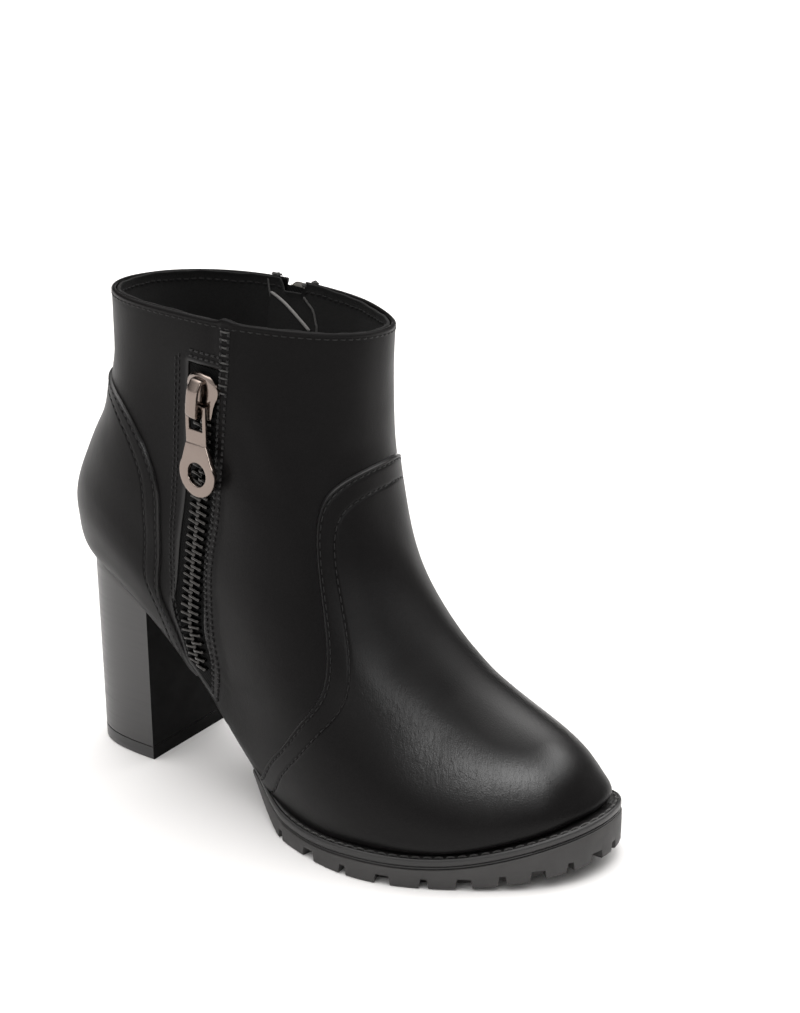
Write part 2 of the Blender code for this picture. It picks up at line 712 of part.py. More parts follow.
def make_teeth():
    """The lateral chain: one strip with a tooth raised at each pitch."""
    first, last = LATERAL_WINDOW_RINGS
    length = zip_length(lateral_zip, first, last)
    margin = 2 * TOOTH_PITCH
    count = int((length - 2 * margin) / TOOTH_PITCH)
    profile = ((0.0, TOOTH_VALLEY), (TOOTH_SLOPE, CHAIN_RISE), (TOOTH_LENGTH - TOOTH_SLOPE, CHAIN_RISE),
               (TOOTH_LENGTH, TOOTH_VALLEY))
    distances = [margin + TOOTH_PITCH * tooth + start for tooth in range(count) for start, _ in profile]
    heights = np.array([height for tooth in range(count) for _, height in profile])
    rings = rings_along(lateral_zip, first, last, np.array(distances))
    points, faces = zip_strip(lateral_zip, rings, LATERAL_CHAIN, -CHAIN_SINK, heights, 1)
    add_object("zip_teeth_lateral", mesh_from("zip_teeth_lateral", points, faces), "black_metal")


def make_coil():
    rings = np.linspace(MEDIAL_SLIT_START_RING + 0.2, COLLAR_RING - 0.1, STRIP_STEPS)
    points, faces = zip_strip(medial_zip, rings, MEDIAL_CHAIN, -CHAIN_SINK, MEDIAL_CHAIN_RISE, 2)
    add_object("zip_coil_medial", mesh_from("zip_coil_medial", points, faces), "zip_cloth")


def pull_outline():
    """Yoke, neck and ring of a pull, as one outline with two holes."""
    bar = YOKE_BAR / 2
    neck = bar + YOKE_LENGTH + NECK_LENGTH
    sweep = np.linspace(-RING_SHOULDER_ANGLE, np.pi + RING_SHOULDER_ANGLE, RING_SIDES)
    ring = [(RING_RADIUS * np.cos(a), RING_CENTRE + RING_RADIUS * np.sin(a)) for a in sweep]
    half = YOKE_HALF_WIDTH
    outline = [(-half, -bar), (half, -bar), (half, neck), *ring, (-half, neck)]
    inside = half - YOKE_LEG
    window = [(-inside, bar), (inside, bar), (inside, bar + YOKE_LENGTH), (-inside, bar + YOKE_LENGTH)]
    turn = np.linspace(0, FULL_TURN, RING_SIDES, endpoint=False)
    hole = [(RING_HOLE_RADIUS * np.cos(a), RING_CENTRE + RING_HOLE_RADIUS * np.sin(a)) for a in turn]
    return outline, [window, hole]


def place_on_zip(item, place, directions, scale):
    """Moves a piece drawn in millimetres to its hinge's place, turned to the zip's directions."""
    item.data.transform(Matrix.Scale(scale * MM, 4))
    pose = Matrix(directions.tolist()).to_4x4()
    pose.translation = place * MM
    item.matrix_basis = pose


def make_slider_and_pull(side, line, ring, chain_rise, scale, material_name):
    """A slider with a bridge over its hinge, and the pull whose yoke hangs in that bridge."""
    axis_height = chain_rise + GAP + scale * (SLIDER_THICKNESS + BRIDGE_CLEAR / 2)
    place, directions = line.hang(ring, axis_height, PULL_REACH * scale)
    plate_top = -BRIDGE_CLEAR / 2
    plate = prism(SLIDER_OUTLINE, (), plate_top - SLIDER_THICKNESS, plate_top)
    slider = add_object("zip_slider_" + side, plate, material_name)
    roof = BRIDGE_CLEAR / 2
    crown = roof + BRIDGE_THICKNESS
    foot = plate_top - BRIDGE_SINK
    arch = [(BRIDGE_TOP, foot), (BRIDGE_TOP + BRIDGE_POST, foot), (BRIDGE_TOP + BRIDGE_POST, roof),
            (BRIDGE_BOTTOM - BRIDGE_POST, roof), (BRIDGE_BOTTOM - BRIDGE_POST, foot), (BRIDGE_BOTTOM, foot),
            (BRIDGE_BOTTOM, crown - BRIDGE_SINK), (BRIDGE_BOTTOM - BRIDGE_POST, crown),
            (BRIDGE_TOP + BRIDGE_POST, crown), (BRIDGE_TOP, crown - BRIDGE_SINK)]
    bridge = prism(arch, (), -BRIDGE_HALF_WIDTH, BRIDGE_HALF_WIDTH)
    bridge.transform(Matrix(((0, 0, 1, 0), (1, 0, 0, 0), (0, 1, 0, 0), (0, 0, 0, 1))))
    bridge_tool = add_tool("zip_bridge_" + side, bridge)
    boolean(slider, bridge_tool, "UNION")
    outline, holes = pull_outline()
    pull_mesh = prism(outline, holes, -PULL_THICKNESS / 2, PULL_THICKNESS / 2)
    pull = add_object("zip_pull_" + side, pull_mesh, material_name)
    place_on_zip(slider, place, directions, scale)
    place_on_zip(bridge_tool, place, directions, scale)
    place_on_zip(pull, place, hanging(directions), scale)


def main():
    clear_scene()
    make_upper()
    make_counter()
    make_vamp_band()
    make_insole()
    make_welt()
    make_outsole()
    make_heel()
    make_tape("zip_tape_lateral", lateral_zip, *LATERAL_WINDOW_RINGS, LATERAL_SLOT)
    make_tape("zip_tape_medial", medial_zip, MEDIAL_SLIT_START_RING, COLLAR_RING, MEDIAL_SLOT)
    make_teeth()
    make_coil()
    make_slider_and_pull("lateral", lateral_zip, LATERAL_SLIDER_RING, CHAIN_RISE, 1.0, "gunmetal")
    make_slider_and_pull("medial", medial_zip, MEDIAL_SLIDER_RING, MEDIAL_CHAIN_RISE, MEDIAL_ZIP_SCALE, "black_metal")


main()
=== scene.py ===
"""Looks of the heeled ankle boot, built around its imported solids.

Sizes are in millimetres on the boot's own last, as in the part's source, and to_frame moves them to the
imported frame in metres. A place on the upper is an angle and a ring: the angle is 0 at the front of a ring
and pi at its back, with the lateral side between them, and ring 0 is the feather line.
"""

import bmesh
import bpy
import numpy as np
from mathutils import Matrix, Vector


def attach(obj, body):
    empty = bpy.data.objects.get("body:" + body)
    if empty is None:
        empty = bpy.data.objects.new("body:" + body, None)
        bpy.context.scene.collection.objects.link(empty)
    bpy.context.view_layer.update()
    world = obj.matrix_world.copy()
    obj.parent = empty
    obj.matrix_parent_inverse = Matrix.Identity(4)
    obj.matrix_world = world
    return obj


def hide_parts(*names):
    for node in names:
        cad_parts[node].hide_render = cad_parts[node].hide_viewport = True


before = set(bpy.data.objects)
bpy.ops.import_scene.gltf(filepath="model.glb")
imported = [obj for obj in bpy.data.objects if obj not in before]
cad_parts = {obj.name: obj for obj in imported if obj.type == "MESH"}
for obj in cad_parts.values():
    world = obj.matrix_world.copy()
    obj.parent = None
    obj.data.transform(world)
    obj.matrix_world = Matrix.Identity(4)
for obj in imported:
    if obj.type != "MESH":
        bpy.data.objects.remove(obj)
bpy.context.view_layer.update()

MM = 0.001
GAP = 0.3
FULL_TURN = 2 * np.pi
NUDGE = 1e-3
RING_STEP = 0.01
FINE_STEPS = 400
BOX_MIDDLE = np.array([115.75, 1.96, 0.0])

# The last: a row for each ring of the upper, from the feather line to the collar
# Columns: x and z at the back, x and z at the front, half widths from heel to toe, share of the sole's dip
BACK_X = 0
BACK_Z = 1
FRONT_X = 2
FRONT_Z = 3
HALF_WIDTHS = slice(4, 8)
DIP_SHARE = 8
RINGS = np.array([
    (4.5, 76.5, 228.5, 22.0, 20.0, 27.0, 39.5, 27.0, 1.00),
    (0.5, 85.0, 230.0, 26.0, 25.5, 29.0, 41.5, 31.0, 1.00),
    (0.0, 95.0, 224.5, 34.5, 28.5, 30.5, 42.0, 31.0, 0.95),
    (0.5, 105.0, 212.5, 47.0, 30.5, 31.5, 40.0, 28.5, 0.85),
    (3.5, 114.5, 192.0, 60.5, 31.0, 32.0, 38.5, 27.5, 0.70),
    (8.0, 124.0, 171.0, 76.5, 31.0, 33.0, 37.5, 28.0, 0.52),
    (13.0, 134.0, 154.5, 95.0, 31.5, 34.5, 37.0, 28.0, 0.35),
    (18.5, 145.0, 144.5, 116.0, 32.0, 35.5, 37.0, 28.0, 0.20),
    (22.0, 157.5, 139.0, 140.0, 32.5, 37.5, 37.5, 27.5, 0.10),
    (23.0, 173.0, 137.0, 164.0, 33.5, 40.0, 38.0, 26.0, 0.04),
    (22.0, 190.0, 138.0, 189.0, 35.0, 43.0, 38.0, 24.0, 0.00),
])
COLLAR_RING = len(RINGS) - 1
# Stations of the four half widths, with one more beyond each end of the foot
WIDTH_KNOTS = np.array([-0.1, 0.14, 0.42, 0.70, 0.90, 1.1])
HALF_WIDTH_STATIONS = WIDTH_KNOTS[1:-1]
ROUNDNESS = 2.2
# Height of the feather line above the floor, as station and height, from the back (0) to the front (1)
SOLE_LINE = np.array([
    (0.00, 76.5), (0.14, 70.0), (0.28, 50.0), (0.42, 22.0),
    (0.56, 11.0), (0.70, 12.0), (0.85, 13.0), (1.00, 22.0),
])
# Sideways curve of the foot's centre line, as x and y
BEND_LINE = np.array([(0.0, 0.0), (60.0, 0.0), (120.0, -5.0), (170.0, -5.0), (230.0, 11.0)])
LEAN_START_RING = 4.0
LEAN_POWER = 1.5
SHAFT_LEAN = 8.4
COLLAR_TILT = -0.13

# Zip lines on the upper, as ring and station
LATERAL_ZIP_LINE = np.array([
    (0.0, 0.320), (1.4, 0.335), (2.44, 0.352), (3.7, 0.373), (4.74, 0.4125), (5.74, 0.461),
    (6.97, 0.513), (8.37, 0.557), (9.07, 0.574), (10.0, 0.586),
])
MEDIAL_ZIP_LINE = np.array([
    (0.0, 0.300), (2.6, 0.323), (4.0, 0.350), (6.0, 0.385), (8.0, 0.376), (10.0, 0.371),
])
# Middle of the stitched border round the lateral window, as ring and station
BORDER_LINE = np.array([
    (0.0, 0.320), (1.4, 0.335), (2.44, 0.352), (4.34, 0.395), (5.74, 0.446),
    (6.97, 0.496), (8.37, 0.537), (9.07, 0.553), (10.0, 0.565),
])
LATERAL_WINDOW_RINGS = (1.4, 9.27)
MEDIAL_SLIT_START_RING = 2.6
# Edges of the slots, as distances from the zip's line, the one nearer the toe first
LATERAL_SLOT = (-6.4, 8.2)
MEDIAL_SLOT = (-4.5, 4.5)
LATERAL_SLIDER_RING = 8.68
MEDIAL_SLIDER_RING = 9.62
MEDIAL_ZIP_SCALE = 0.55
# Rise of the chains above the skin under their sliders
LATERAL_CHAIN_RISE = 1.0
MEDIAL_CHAIN_RISE = 0.4
MEDIAL_CHAIN_TOP = 9.80
MEDIAL_TAPE_TOP = 9.88
# Rise of the upper's lower edge at the heel's breast, and where along x it starts, is full, falls and ends
BREAST_RISE = 2.4
BREAST_RISE_RUN = (12.0, 42.0, 48.0, 75.0)
LOW_RING_HEIGHT = 7.5


def smooth_curve(knots, values):
    """Natural cubic curve through the values at the knots. The values may have several columns."""
    knots = np.asarray(knots, float)
    values = np.asarray(values, float)
    columns = values.reshape(len(knots), -1)
    steps = np.diff(knots)
    slopes = np.diff(columns, axis=0) / steps[:, None]
    system = np.eye(len(knots))
    bends = np.zeros_like(columns)
    for i in range(1, len(knots) - 1):
        system[i, i - 1:i + 2] = steps[i - 1], 2 * (steps[i - 1] + steps[i]), steps[i]
        bends[i] = 6 * (slopes[i] - slopes[i - 1])
    bends = np.linalg.solve(system, bends)

    def at(place):
        place = np.asarray(place, float)
        flat = place.ravel()
        i = np.clip(np.searchsorted(knots, flat) - 1, 0, len(steps) - 1)
        step = steps[i][:, None]
        after = (flat - knots[i])[:, None]
        before = step - after
        cubic = (bends[i] * before**3 + bends[i + 1] * after**3) / (6 * step)
        low = (columns[i] / step - bends[i] * step / 6) * before
        high = (columns[i + 1] / step - bends[i + 1] * step / 6) * after
        return (cubic + low + high).reshape(place.shape + values.shape[1:])

    return at


sole_stations, sole_heights = SOLE_LINE.T


def straight_height(station):
    return sole_heights[0] + (sole_heights[-1] - sole_heights[0]) * station


def round_end(station):
    """Half-width of a unit oval at a station from 0 to 1."""
    return np.clip(1 - np.abs(2 * station - 1) ** ROUNDNESS, 0, 1) ** (1 / ROUNDNESS)


ring_curve = smooth_curve(np.arange(len(RINGS)), RINGS)
dip_curve = smooth_curve(sole_stations, sole_heights - straight_height(sole_stations))
bend_curve = smooth_curve(*BEND_LINE.T)
width_shares = smooth_curve(WIDTH_KNOTS, np.eye(len(WIDTH_KNOTS)))


def skin(angle, ring):
    """Points of the upper's outer surface, as in the part's source."""
    angle, ring = np.broadcast_arrays(np.asarray(angle, float), np.asarray(ring, float))
    row = ring_curve(ring)
    station = (1 + np.cos(angle)) / 2
    side = np.where(np.sin(angle) >= 0, -1.0, 1.0)
    fullness = row[..., HALF_WIDTHS] / round_end(HALF_WIDTH_STATIONS)
    fullness = np.concatenate([fullness[..., :1], fullness, fullness[..., -1:]], axis=-1)
    half = round_end(station) * (fullness * width_shares(station)).sum(axis=-1)
    lean = np.clip((ring - LEAN_START_RING) / (COLLAR_RING - LEAN_START_RING), 0, 1) ** LEAN_POWER
    x = row[..., BACK_X] + (row[..., FRONT_X] - row[..., BACK_X]) * station
    y = side * half + bend_curve(x)
    z = row[..., BACK_Z] + (row[..., FRONT_Z] - row[..., BACK_Z]) * station
    z = z + row[..., DIP_SHARE] * dip_curve(station)
    return np.stack([x, y + SHAFT_LEAN * lean, z + COLLAR_TILT * y * lean], axis=-1)


def unit(vectors):
    return vectors / np.linalg.norm(vectors, axis=-1, keepdims=True)


def bell(distance, width):
    """Falls from 1 at no distance towards 0 well beyond the width."""
    return np.exp(-((distance / width) ** 2))


def full_turn(steps):
    """Angles of a full turn in even steps."""
    return np.linspace(0, FULL_TURN, steps, endpoint=False)


def skin_slopes(angle, ring):
    low = np.clip(np.asarray(ring, float) - NUDGE, 0, COLLAR_RING)
    high = np.clip(np.asarray(ring, float) + NUDGE, 0, COLLAR_RING)
    by_angle = (skin(angle + NUDGE, ring) - skin(angle - NUDGE, ring)) / (2 * NUDGE)
    by_ring = (skin(angle, high) - skin(angle, low)) / (high - low)[..., None]
    return by_angle, by_ring


def outward(angle, ring):
    by_angle, by_ring = skin_slopes(angle, ring)
    return -unit(np.cross(by_angle, by_ring))


def layer(angle, ring, height):
    """Points at a height above the skin, or below it where the height is negative."""
    angle, ring, height = np.broadcast_arrays(angle, np.asarray(ring, float), np.asarray(height, float))
    return skin(angle, ring) + outward(angle, ring) * height[..., None]


def feather_station(x):
    return (x - RINGS[0, BACK_X]) / (RINGS[0, FRONT_X] - RINGS[0, BACK_X])


def ease(x, start, end):
    """Rises smoothly from 0 at the start to 1 at the end."""
    share = np.clip((x - start) / (end - start), 0, 1)
    return share * share * (3 - 2 * share)


def breast_rise(x):
    """How far the upper's lower edge is drawn up round the heel's breast."""
    start, full, fall, end = BREAST_RISE_RUN
    return BREAST_RISE * ease(x, start, full) * (1 - ease(x, fall, end))


def drawn_up(angle, ring):
    """Rings of places on the upper once its lower edge is drawn up round the heel's breast."""
    rise = breast_rise(skin(angle, np.zeros_like(ring))[..., 0]) / LOW_RING_HEIGHT
    return ring + rise * np.clip(1 - ring / LATERAL_WINDOW_RINGS[0], 0, 1)


def feather_height(x):
    station = feather_station(x)
    return straight_height(station) + dip_curve(station) + breast_rise(x)


def angle_of(station):
    return np.arccos(np.clip(2 * np.asarray(station, float) - 1, -1, 1))


def run_lengths(points):
    """Distance along a row of points, from its first one."""
    return np.concatenate([[0], np.cumsum(np.linalg.norm(np.diff(points, axis=0), axis=1))])


def at_distances(distances, run, rows):
    """Values at distances along a row, from the run length and the values at each of its points."""
    return np.stack([np.interp(distances, run, column) for column in rows.T], axis=-1)


def resampled(points, count):
    """A smooth row of points through a few points."""
    return smooth_curve(np.linspace(0, 1, len(points)), points)(np.linspace(0, 1, count))


class ZipLine:
    """A zip's line on the upper: its angle at each ring, and the angles that lie beside it."""

    def __init__(self, line, medial):
        rings, stations = line.T
        self.curve = smooth_curve(rings, angle_of(stations))
        self.turn = -1.0 if medial else 1.0

    def angle(self, ring):
        return self.turn * self.curve(ring) % FULL_TURN

    def angle_per_mm(self, ring):
        """Change of angle for a millimetre across the line, towards the back of the boot."""
        ring = np.asarray(ring, float)
        low = np.clip(ring - NUDGE, 0, COLLAR_RING)
        high = np.clip(ring + NUDGE, 0, COLLAR_RING)
        along = unit(skin(self.angle(high), high) - skin(self.angle(low), low))
        by_angle = skin_slopes(self.angle(ring), ring)[0]
        across = by_angle - (by_angle * along).sum(axis=-1, keepdims=True) * along
        return self.turn / np.linalg.norm(across, axis=-1)

    def beside(self, ring, distance):
        return self.angle(ring) + self.angle_per_mm(ring) * distance

    def across(self, angle, ring):
        """Distance of a place from the line, positive towards the back of the boot."""
        return (angle - self.angle(ring)) / self.angle_per_mm(ring)

    def run(self, first, last):
        """Rings in fine steps along the line, and their distances from the first one."""
        fine = np.linspace(first, last, FINE_STEPS)
        return fine, run_lengths(skin(self.angle(fine), fine))

    def rings_at(self, first, last, distances):
        """Rings at distances along the line from its first ring."""
        fine, run = self.run(first, last)
        return np.interp(distances, run, fine)

    def length(self, first, last):
        return self.run(first, last)[1][-1]

    def hang(self, ring, height, reach):
        """Place and directions (across, down, out) of a flat piece that hangs along the line."""
        place = layer(self.angle(ring), ring, height)
        lower_ring = ring
        while np.linalg.norm(skin(self.angle(lower_ring), lower_ring) - place) < reach:
            lower_ring = lower_ring - RING_STEP
        lower = layer(self.angle(lower_ring), lower_ring, height)
        down = unit(lower - place)
        out = layer(self.angle(ring), ring, 1.0) - skin(self.angle(ring), ring)
        out = unit(out - (out @ down) * down)
        return place, np.stack([np.cross(down, out), down, out], axis=1)


def hanging(directions):
    """Directions of a piece that hangs free on a level axis, which faces the way these directions do."""
    across = unit(directions[:, 0] * (1, 1, 0))
    down = np.array([0.0, 0.0, -1.0])
    return np.stack([across, down, np.cross(across, down)], axis=1)


lateral_zip = ZipLine(LATERAL_ZIP_LINE, medial=False)
medial_zip = ZipLine(MEDIAL_ZIP_LINE, medial=True)
border = ZipLine(BORDER_LINE, medial=False)

# Materials
# Sockets of a mix node that hold its two colours and its resulting colour
FIRST_COLOUR = 6
SECOND_COLOUR = 7
MIXED_COLOUR = 2


class Nodes:
    """A node tree, with short ways to add nodes."""

    def __init__(self, tree):
        self.tree = tree

    def node(self, kind, **values):
        made = self.tree.nodes.new(kind)
        for key, value in values.items():
            if hasattr(made, key):
                setattr(made, key, value)
            else:
                made.inputs[key.replace("_", " ")].default_value = value
        return made

    def link(self, output, socket):
        self.tree.links.new(output, socket)

    def math(self, operation, first, second):
        made = self.node("ShaderNodeMath", operation=operation)
        for socket, value in zip(made.inputs, (first, second)):
            if isinstance(value, (int, float)):
                socket.default_value = value
            else:
                self.link(value, socket)
        return made.outputs["Value"]


class Shader(Nodes):
    """A material's node tree round its principled shader."""

    def __init__(self, name, colour, roughness, metallic=0.0, **sockets):
        self.material = bpy.data.materials.new(name)
        self.material.use_nodes = True
        super().__init__(self.material.node_tree)
        self.principled = self.tree.nodes["Principled BSDF"]
        self.set("Base Color", (*colour, 1))
        self.set("Roughness", roughness)
        self.set("Metallic", metallic)
        for socket, value in sockets.items():
            self.set(socket.replace("_", " "), value)

    def set(self, socket, value):
        self.principled.inputs[socket].default_value = value

    def place(self):
        return self.node("ShaderNodeTexCoord").outputs["Object"]

    def noise(self, scale, detail, roughness=0.55, distortion=0.0, size=None, turn=(0, 0, 0)):
        """Noise whose features may have a size along each of three turned axes."""
        made = self.node("ShaderNodeTexNoise", Scale=scale, Detail=detail)
        made.inputs["Roughness"].default_value = roughness
        made.inputs["Distortion"].default_value = distortion
        place = self.place()
        if size is not None:
            mapping = self.node("ShaderNodeMapping", vector_type="TEXTURE", Scale=size, Rotation=turn)
            self.link(place, mapping.inputs["Vector"])
            place = mapping.outputs["Vector"]
        self.link(place, made.inputs["Vector"])
        return made.outputs["Fac"]

    def cells(self, scale):
        """Distance to the edges of small cells."""
        made = self.node("ShaderNodeTexVoronoi", feature="DISTANCE_TO_EDGE", Scale=scale)
        self.link(self.place(), made.inputs["Vector"])
        return made.outputs["Distance"]

    def attribute(self, name):
        return self.node("ShaderNodeAttribute", attribute_name=name).outputs["Fac"]

    def remap(self, value, old_range, new_range):
        """Moves a value from one range to another."""
        low, high = old_range
        new_low, new_high = new_range
        made = self.node("ShaderNodeMapRange", From_Min=low, From_Max=high, To_Min=new_low, To_Max=new_high)
        self.link(value, made.inputs["Value"])
        return made.outputs["Result"]

    def blend(self, share, first, second):
        """Colour between two colours."""
        made = self.node("ShaderNodeMix", data_type="RGBA")
        self.link(share, made.inputs["Factor"])
        made.inputs[FIRST_COLOUR].default_value = (*first, 1)
        made.inputs[SECOND_COLOUR].default_value = (*second, 1)
        self.link(made.outputs[MIXED_COLOUR], self.principled.inputs["Base Color"])

    def rough(self, value):
        self.link(value, self.principled.inputs["Roughness"])

    def bump(self, height, depth, strength):
        """Bumps of a depth in millimetres, on top of those already there."""
        made = self.node("ShaderNodeBump", Strength=strength, Distance=depth * MM)
        self.link(height, made.inputs["Height"])
        normal = self.principled.inputs["Normal"]
        if normal.is_linked:
            self.link(normal.links[0].from_socket, made.inputs["Normal"])
        self.link(made.outputs["Normal"], normal)


# Direction in which the wrinkles of the toe's shoulder run
WRINKLE_RUN = (-0.27, 0.39, 0.88)
# How much less rough the leather is where it is glossy
GLOSS_SMOOTHING = 0.09


def leather_material():
    """Black coated leather with a fine pebble grain. Each piece states where it is glossy and wrinkled."""
    made = Shader("leather", (0.0033, 0.0030, 0.0031), 0.40, Specular_IOR_Level=0.08, Coat_Roughness=0.31)
    made.blend(made.noise(scale=26, detail=3), (0.0028, 0.0025, 0.0026), (0.0041, 0.0037, 0.0038))
    gloss = made.attribute("gloss")
    softness = made.remap(made.noise(scale=70, detail=4), (0.3, 0.7), (0.37, 0.43))
    made.rough(made.math("SUBTRACT", softness, made.math("MULTIPLY", gloss, GLOSS_SMOOTHING)))
    made.link(gloss, made.principled.inputs["Coat Weight"])
    pebbles = made.remap(made.cells(scale=1100), (0.0, 0.30), (0.0, 1.0))
    made.bump(pebbles, depth=0.05, strength=0.35)
    made.bump(made.noise(scale=420, detail=5, roughness=0.6, distortion=0.6), depth=0.08, strength=0.30)
    turn = Vector(WRINKLE_RUN).to_track_quat("X", "Z").to_euler()
    wrinkles = made.noise(
        scale=430, detail=4, roughness=0.6, distortion=0.9, size=(2.0, 0.75, 0.75), turn=turn
    )
    made.bump(made.math("MULTIPLY", wrinkles, made.attribute("wrinkle")), depth=0.30, strength=0.9)
    made.link(made.principled.inputs["Normal"].links[0].from_socket, made.principled.inputs["Coat Normal"])
    return made.material


def thread_material():
    made = Shader("thread", (0.0045, 0.0042, 0.0043), 0.5, Specular_IOR_Level=0.25, Sheen_Weight=0.03)
    made.bump(made.noise(scale=1500, detail=2), depth=0.1, strength=0.6)
    return made.material


def lining_material():
    """Black brushed textile."""
    made = Shader("lining", (0.005, 0.005, 0.005), 0.9, Specular_IOR_Level=0.15, Sheen_Weight=0.05)
    made.set("Sheen Roughness", 0.6)
    made.blend(made.noise(scale=900, detail=4), (0.0025, 0.0025, 0.0025), (0.0075, 0.0073, 0.0072))
    made.bump(made.noise(scale=1400, detail=5, roughness=0.7), depth=0.4, strength=0.8)
    return made.material


def tape_material():
    """Woven zip tape with a fine herringbone."""
    made = Shader("zip_tape", (0.0035, 0.0035, 0.0035), 0.85, Specular_IOR_Level=0.1)
    weave = made.node("ShaderNodeTexWave", wave_type="BANDS", bands_direction="DIAGONAL", Scale=420.0)
    weave.inputs["Distortion"].default_value = 0.6
    made.link(made.place(), weave.inputs["Vector"])
    made.bump(weave.outputs["Fac"], depth=0.2, strength=0.7)
    made.bump(made.noise(scale=1600, detail=2), depth=0.15, strength=0.5)
    return made.material


def guard_edge_material():
    made = Shader("guard_edge", (0.17, 0.165, 0.16), 0.8, Sheen_Weight=0.2)
    made.bump(made.noise(scale=1800, detail=3), depth=0.2, strength=0.8)
    return made.material


def seam_material():
    """Frayed cloth edge, a little paler than the lining. On the welt's stitches the paler colour is painted
    highlight.
    """
    made = Shader("frayed_edge_and_stitch_highlight", (0.03, 0.029, 0.028), 0.85, Sheen_Weight=0.3)
    made.blend(made.noise(scale=1200, detail=3), (0.012, 0.0118, 0.0115), (0.055, 0.053, 0.05))
    made.bump(made.noise(scale=2200, detail=4), depth=0.3, strength=0.9)
    return made.material


def metal_material(name, colour, roughness):
    """Plated metal with fine rubbing marks."""
    made = Shader(name, colour, roughness, 1.0)
    made.rough(made.remap(made.noise(scale=240, detail=5), (0.3, 0.75), (roughness - 0.05, roughness + 0.10)))
    made.bump(made.noise(scale=900, detail=3), depth=0.02, strength=0.25)
    return made.material


def rubber_material(name, dark, light, roughness, gloss=0.5):
    made = Shader(name, dark, roughness, Specular_IOR_Level=gloss)
    made.blend(made.noise(scale=60, detail=5), dark, light)
    made.rough(made.remap(made.noise(scale=160, detail=4), (0.3, 0.7), (roughness - 0.07, roughness + 0.07)))
    made.bump(made.noise(scale=1300, detail=4), depth=0.06, strength=0.5)
    return made.material


def heel_material(name, dark, light):
    """Black stacked look: fine level streaks under a satin finish."""
    made = Shader(name, dark, 0.36, Coat_Weight=0.15, Coat_Roughness=0.25)
    streaks = made.noise(scale=26, detail=6, roughness=0.65, distortion=0.2, size=(2.0, 2.0, 0.045))
    made.blend(streaks, dark, light)
    made.rough(made.remap(streaks, (0.3, 0.7), (0.32, 0.46)))
    made.bump(streaks, depth=0.12, strength=0.5)
    return made.material


LEATHER = leather_material()
THREAD = thread_material()
LINING = lining_material()
TAPE = tape_material()
GUARD_EDGE = guard_edge_material()
SEAM = seam_material()
GUNMETAL = metal_material("gunmetal", (0.205, 0.168, 0.148), 0.18)
POLISHED_NICKEL = metal_material("polished_nickel", (0.42, 0.40, 0.37), 0.30)
BLACK_METAL = metal_material("black_nickel", (0.050, 0.048, 0.046), 0.26)
COIL = rubber_material("nylon_coil", (0.010, 0.010, 0.010), (0.016, 0.016, 0.016), 0.45)
WELT_RUBBER = rubber_material("welt_rubber", (0.0085, 0.0081, 0.0081), (0.0135, 0.013, 0.013), 0.38)
SOLE_RUBBER = rubber_material("sole_rubber", (0.0255, 0.0244, 0.024), (0.036, 0.0345, 0.0336), 0.62)
HEEL_STACK = heel_material("heel_stack", (0.012, 0.0115, 0.0115), (0.034, 0.033, 0.033))
HEEL_LIFT = heel_material("heel_lift", (0.009, 0.009, 0.0092), (0.026, 0.0255, 0.026))
# Flat front of the heel and lift: matt, and darker than the heel, which is painted shade
SHADED_MATT_BREAST = rubber_material("heel_breast_matt_painted_shade", (0.0030, 0.0029, 0.0029), (0.0045, 0.0043, 0.0043), 0.8, 0.1)

# Pieces
SAME_POINT = 1e-6


def to_frame(points):
    """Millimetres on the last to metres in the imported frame."""
    return (np.asarray(points, float) - BOX_MIDDLE) * MM


def add_object(name, data):
    made = bpy.data.objects.new(name, data)
    bpy.context.scene.collection.objects.link(made)
    return made


def turn_outward(mesh, join_points):
    """Turns a mesh's faces outward, after joining points that coincide if that is asked for."""
    work = bmesh.new()
    work.from_mesh(mesh)
    if join_points:
        bmesh.ops.remove_doubles(work, verts=work.verts, dist=SAME_POINT)
    bmesh.ops.recalc_face_normals(work, faces=work.faces)
    work.to_mesh(mesh)
    work.free()


def points_and_faces(work):
    """Points and faces of a mesh in the making, which is then freed."""
    work.verts.index_update()
    points = [tuple(point.co) for point in work.verts]
    faces = [[point.index for point in face.verts] for face in work.faces]
    work.free()
    return points, faces


def add_piece(name, points, faces, material, slot, body="boot", replaces=(), sharp=40, values=None):
    """A mesh piece from points on the last, with named values for its points if any."""
    mesh = bpy.data.meshes.new(name)
    mesh.from_pydata(to_frame(points).tolist(), [], faces)
    for key, numbers in (values or {}).items():
        attribute = mesh.attributes.new(key, "FLOAT", "POINT")
        attribute.data.foreach_set("value", np.asarray(numbers, np.float32))
    turn_outward(mesh, join_points=True)
    mesh.materials.append(material)
    mesh.shade_smooth()
    mesh.set_sharp_from_angle(angle=np.radians(sharp))
    piece = add_object(name, mesh)
    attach(piece, body)
    if replaces:
        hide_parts(*replaces)
    return piece


def walled_grid(outer, inner, present, wraps, closed_end=False):
    """A solid between two grids of points, where cells that aren't present are openings.

    With a closed end the last row is folded on itself, so no wall is needed there.
    """
    rows, columns = outer.shape[:2]
    count = rows * columns

    def filled(row, column):
        if wraps:
            column %= present.shape[1]
        if closed_end and row == present.shape[0]:
            return True
        inside = 0 <= row < present.shape[0] and 0 <= column < present.shape[1]
        return inside and present[row, column]

    faces = []
    for row, column in np.argwhere(present):
        after = (column + 1) % columns
        here = row * columns
        above = here + columns
        ring = [here + column, here + after, above + after, above + column]
        faces.append(ring)
        faces.append([count + point for point in reversed(ring)])
        neighbours = ((row - 1, column), (row, column + 1), (row + 1, column), (row, column - 1))
        for side, neighbour in enumerate(neighbours):
            if not filled(*neighbour):
                a, b = ring[side], ring[(side + 1) % 4]
                faces.append([b, a, count + a, count + b])
    points = np.concatenate([outer.reshape(-1, 3), inner.reshape(-1, 3)])
    used = np.unique(np.concatenate([np.asarray(face) for face in faces]))
    place = np.full(len(points), -1)
    place[used] = np.arange(len(used))
    return points[used], [[int(place[point]) for point in face] for face in faces], used


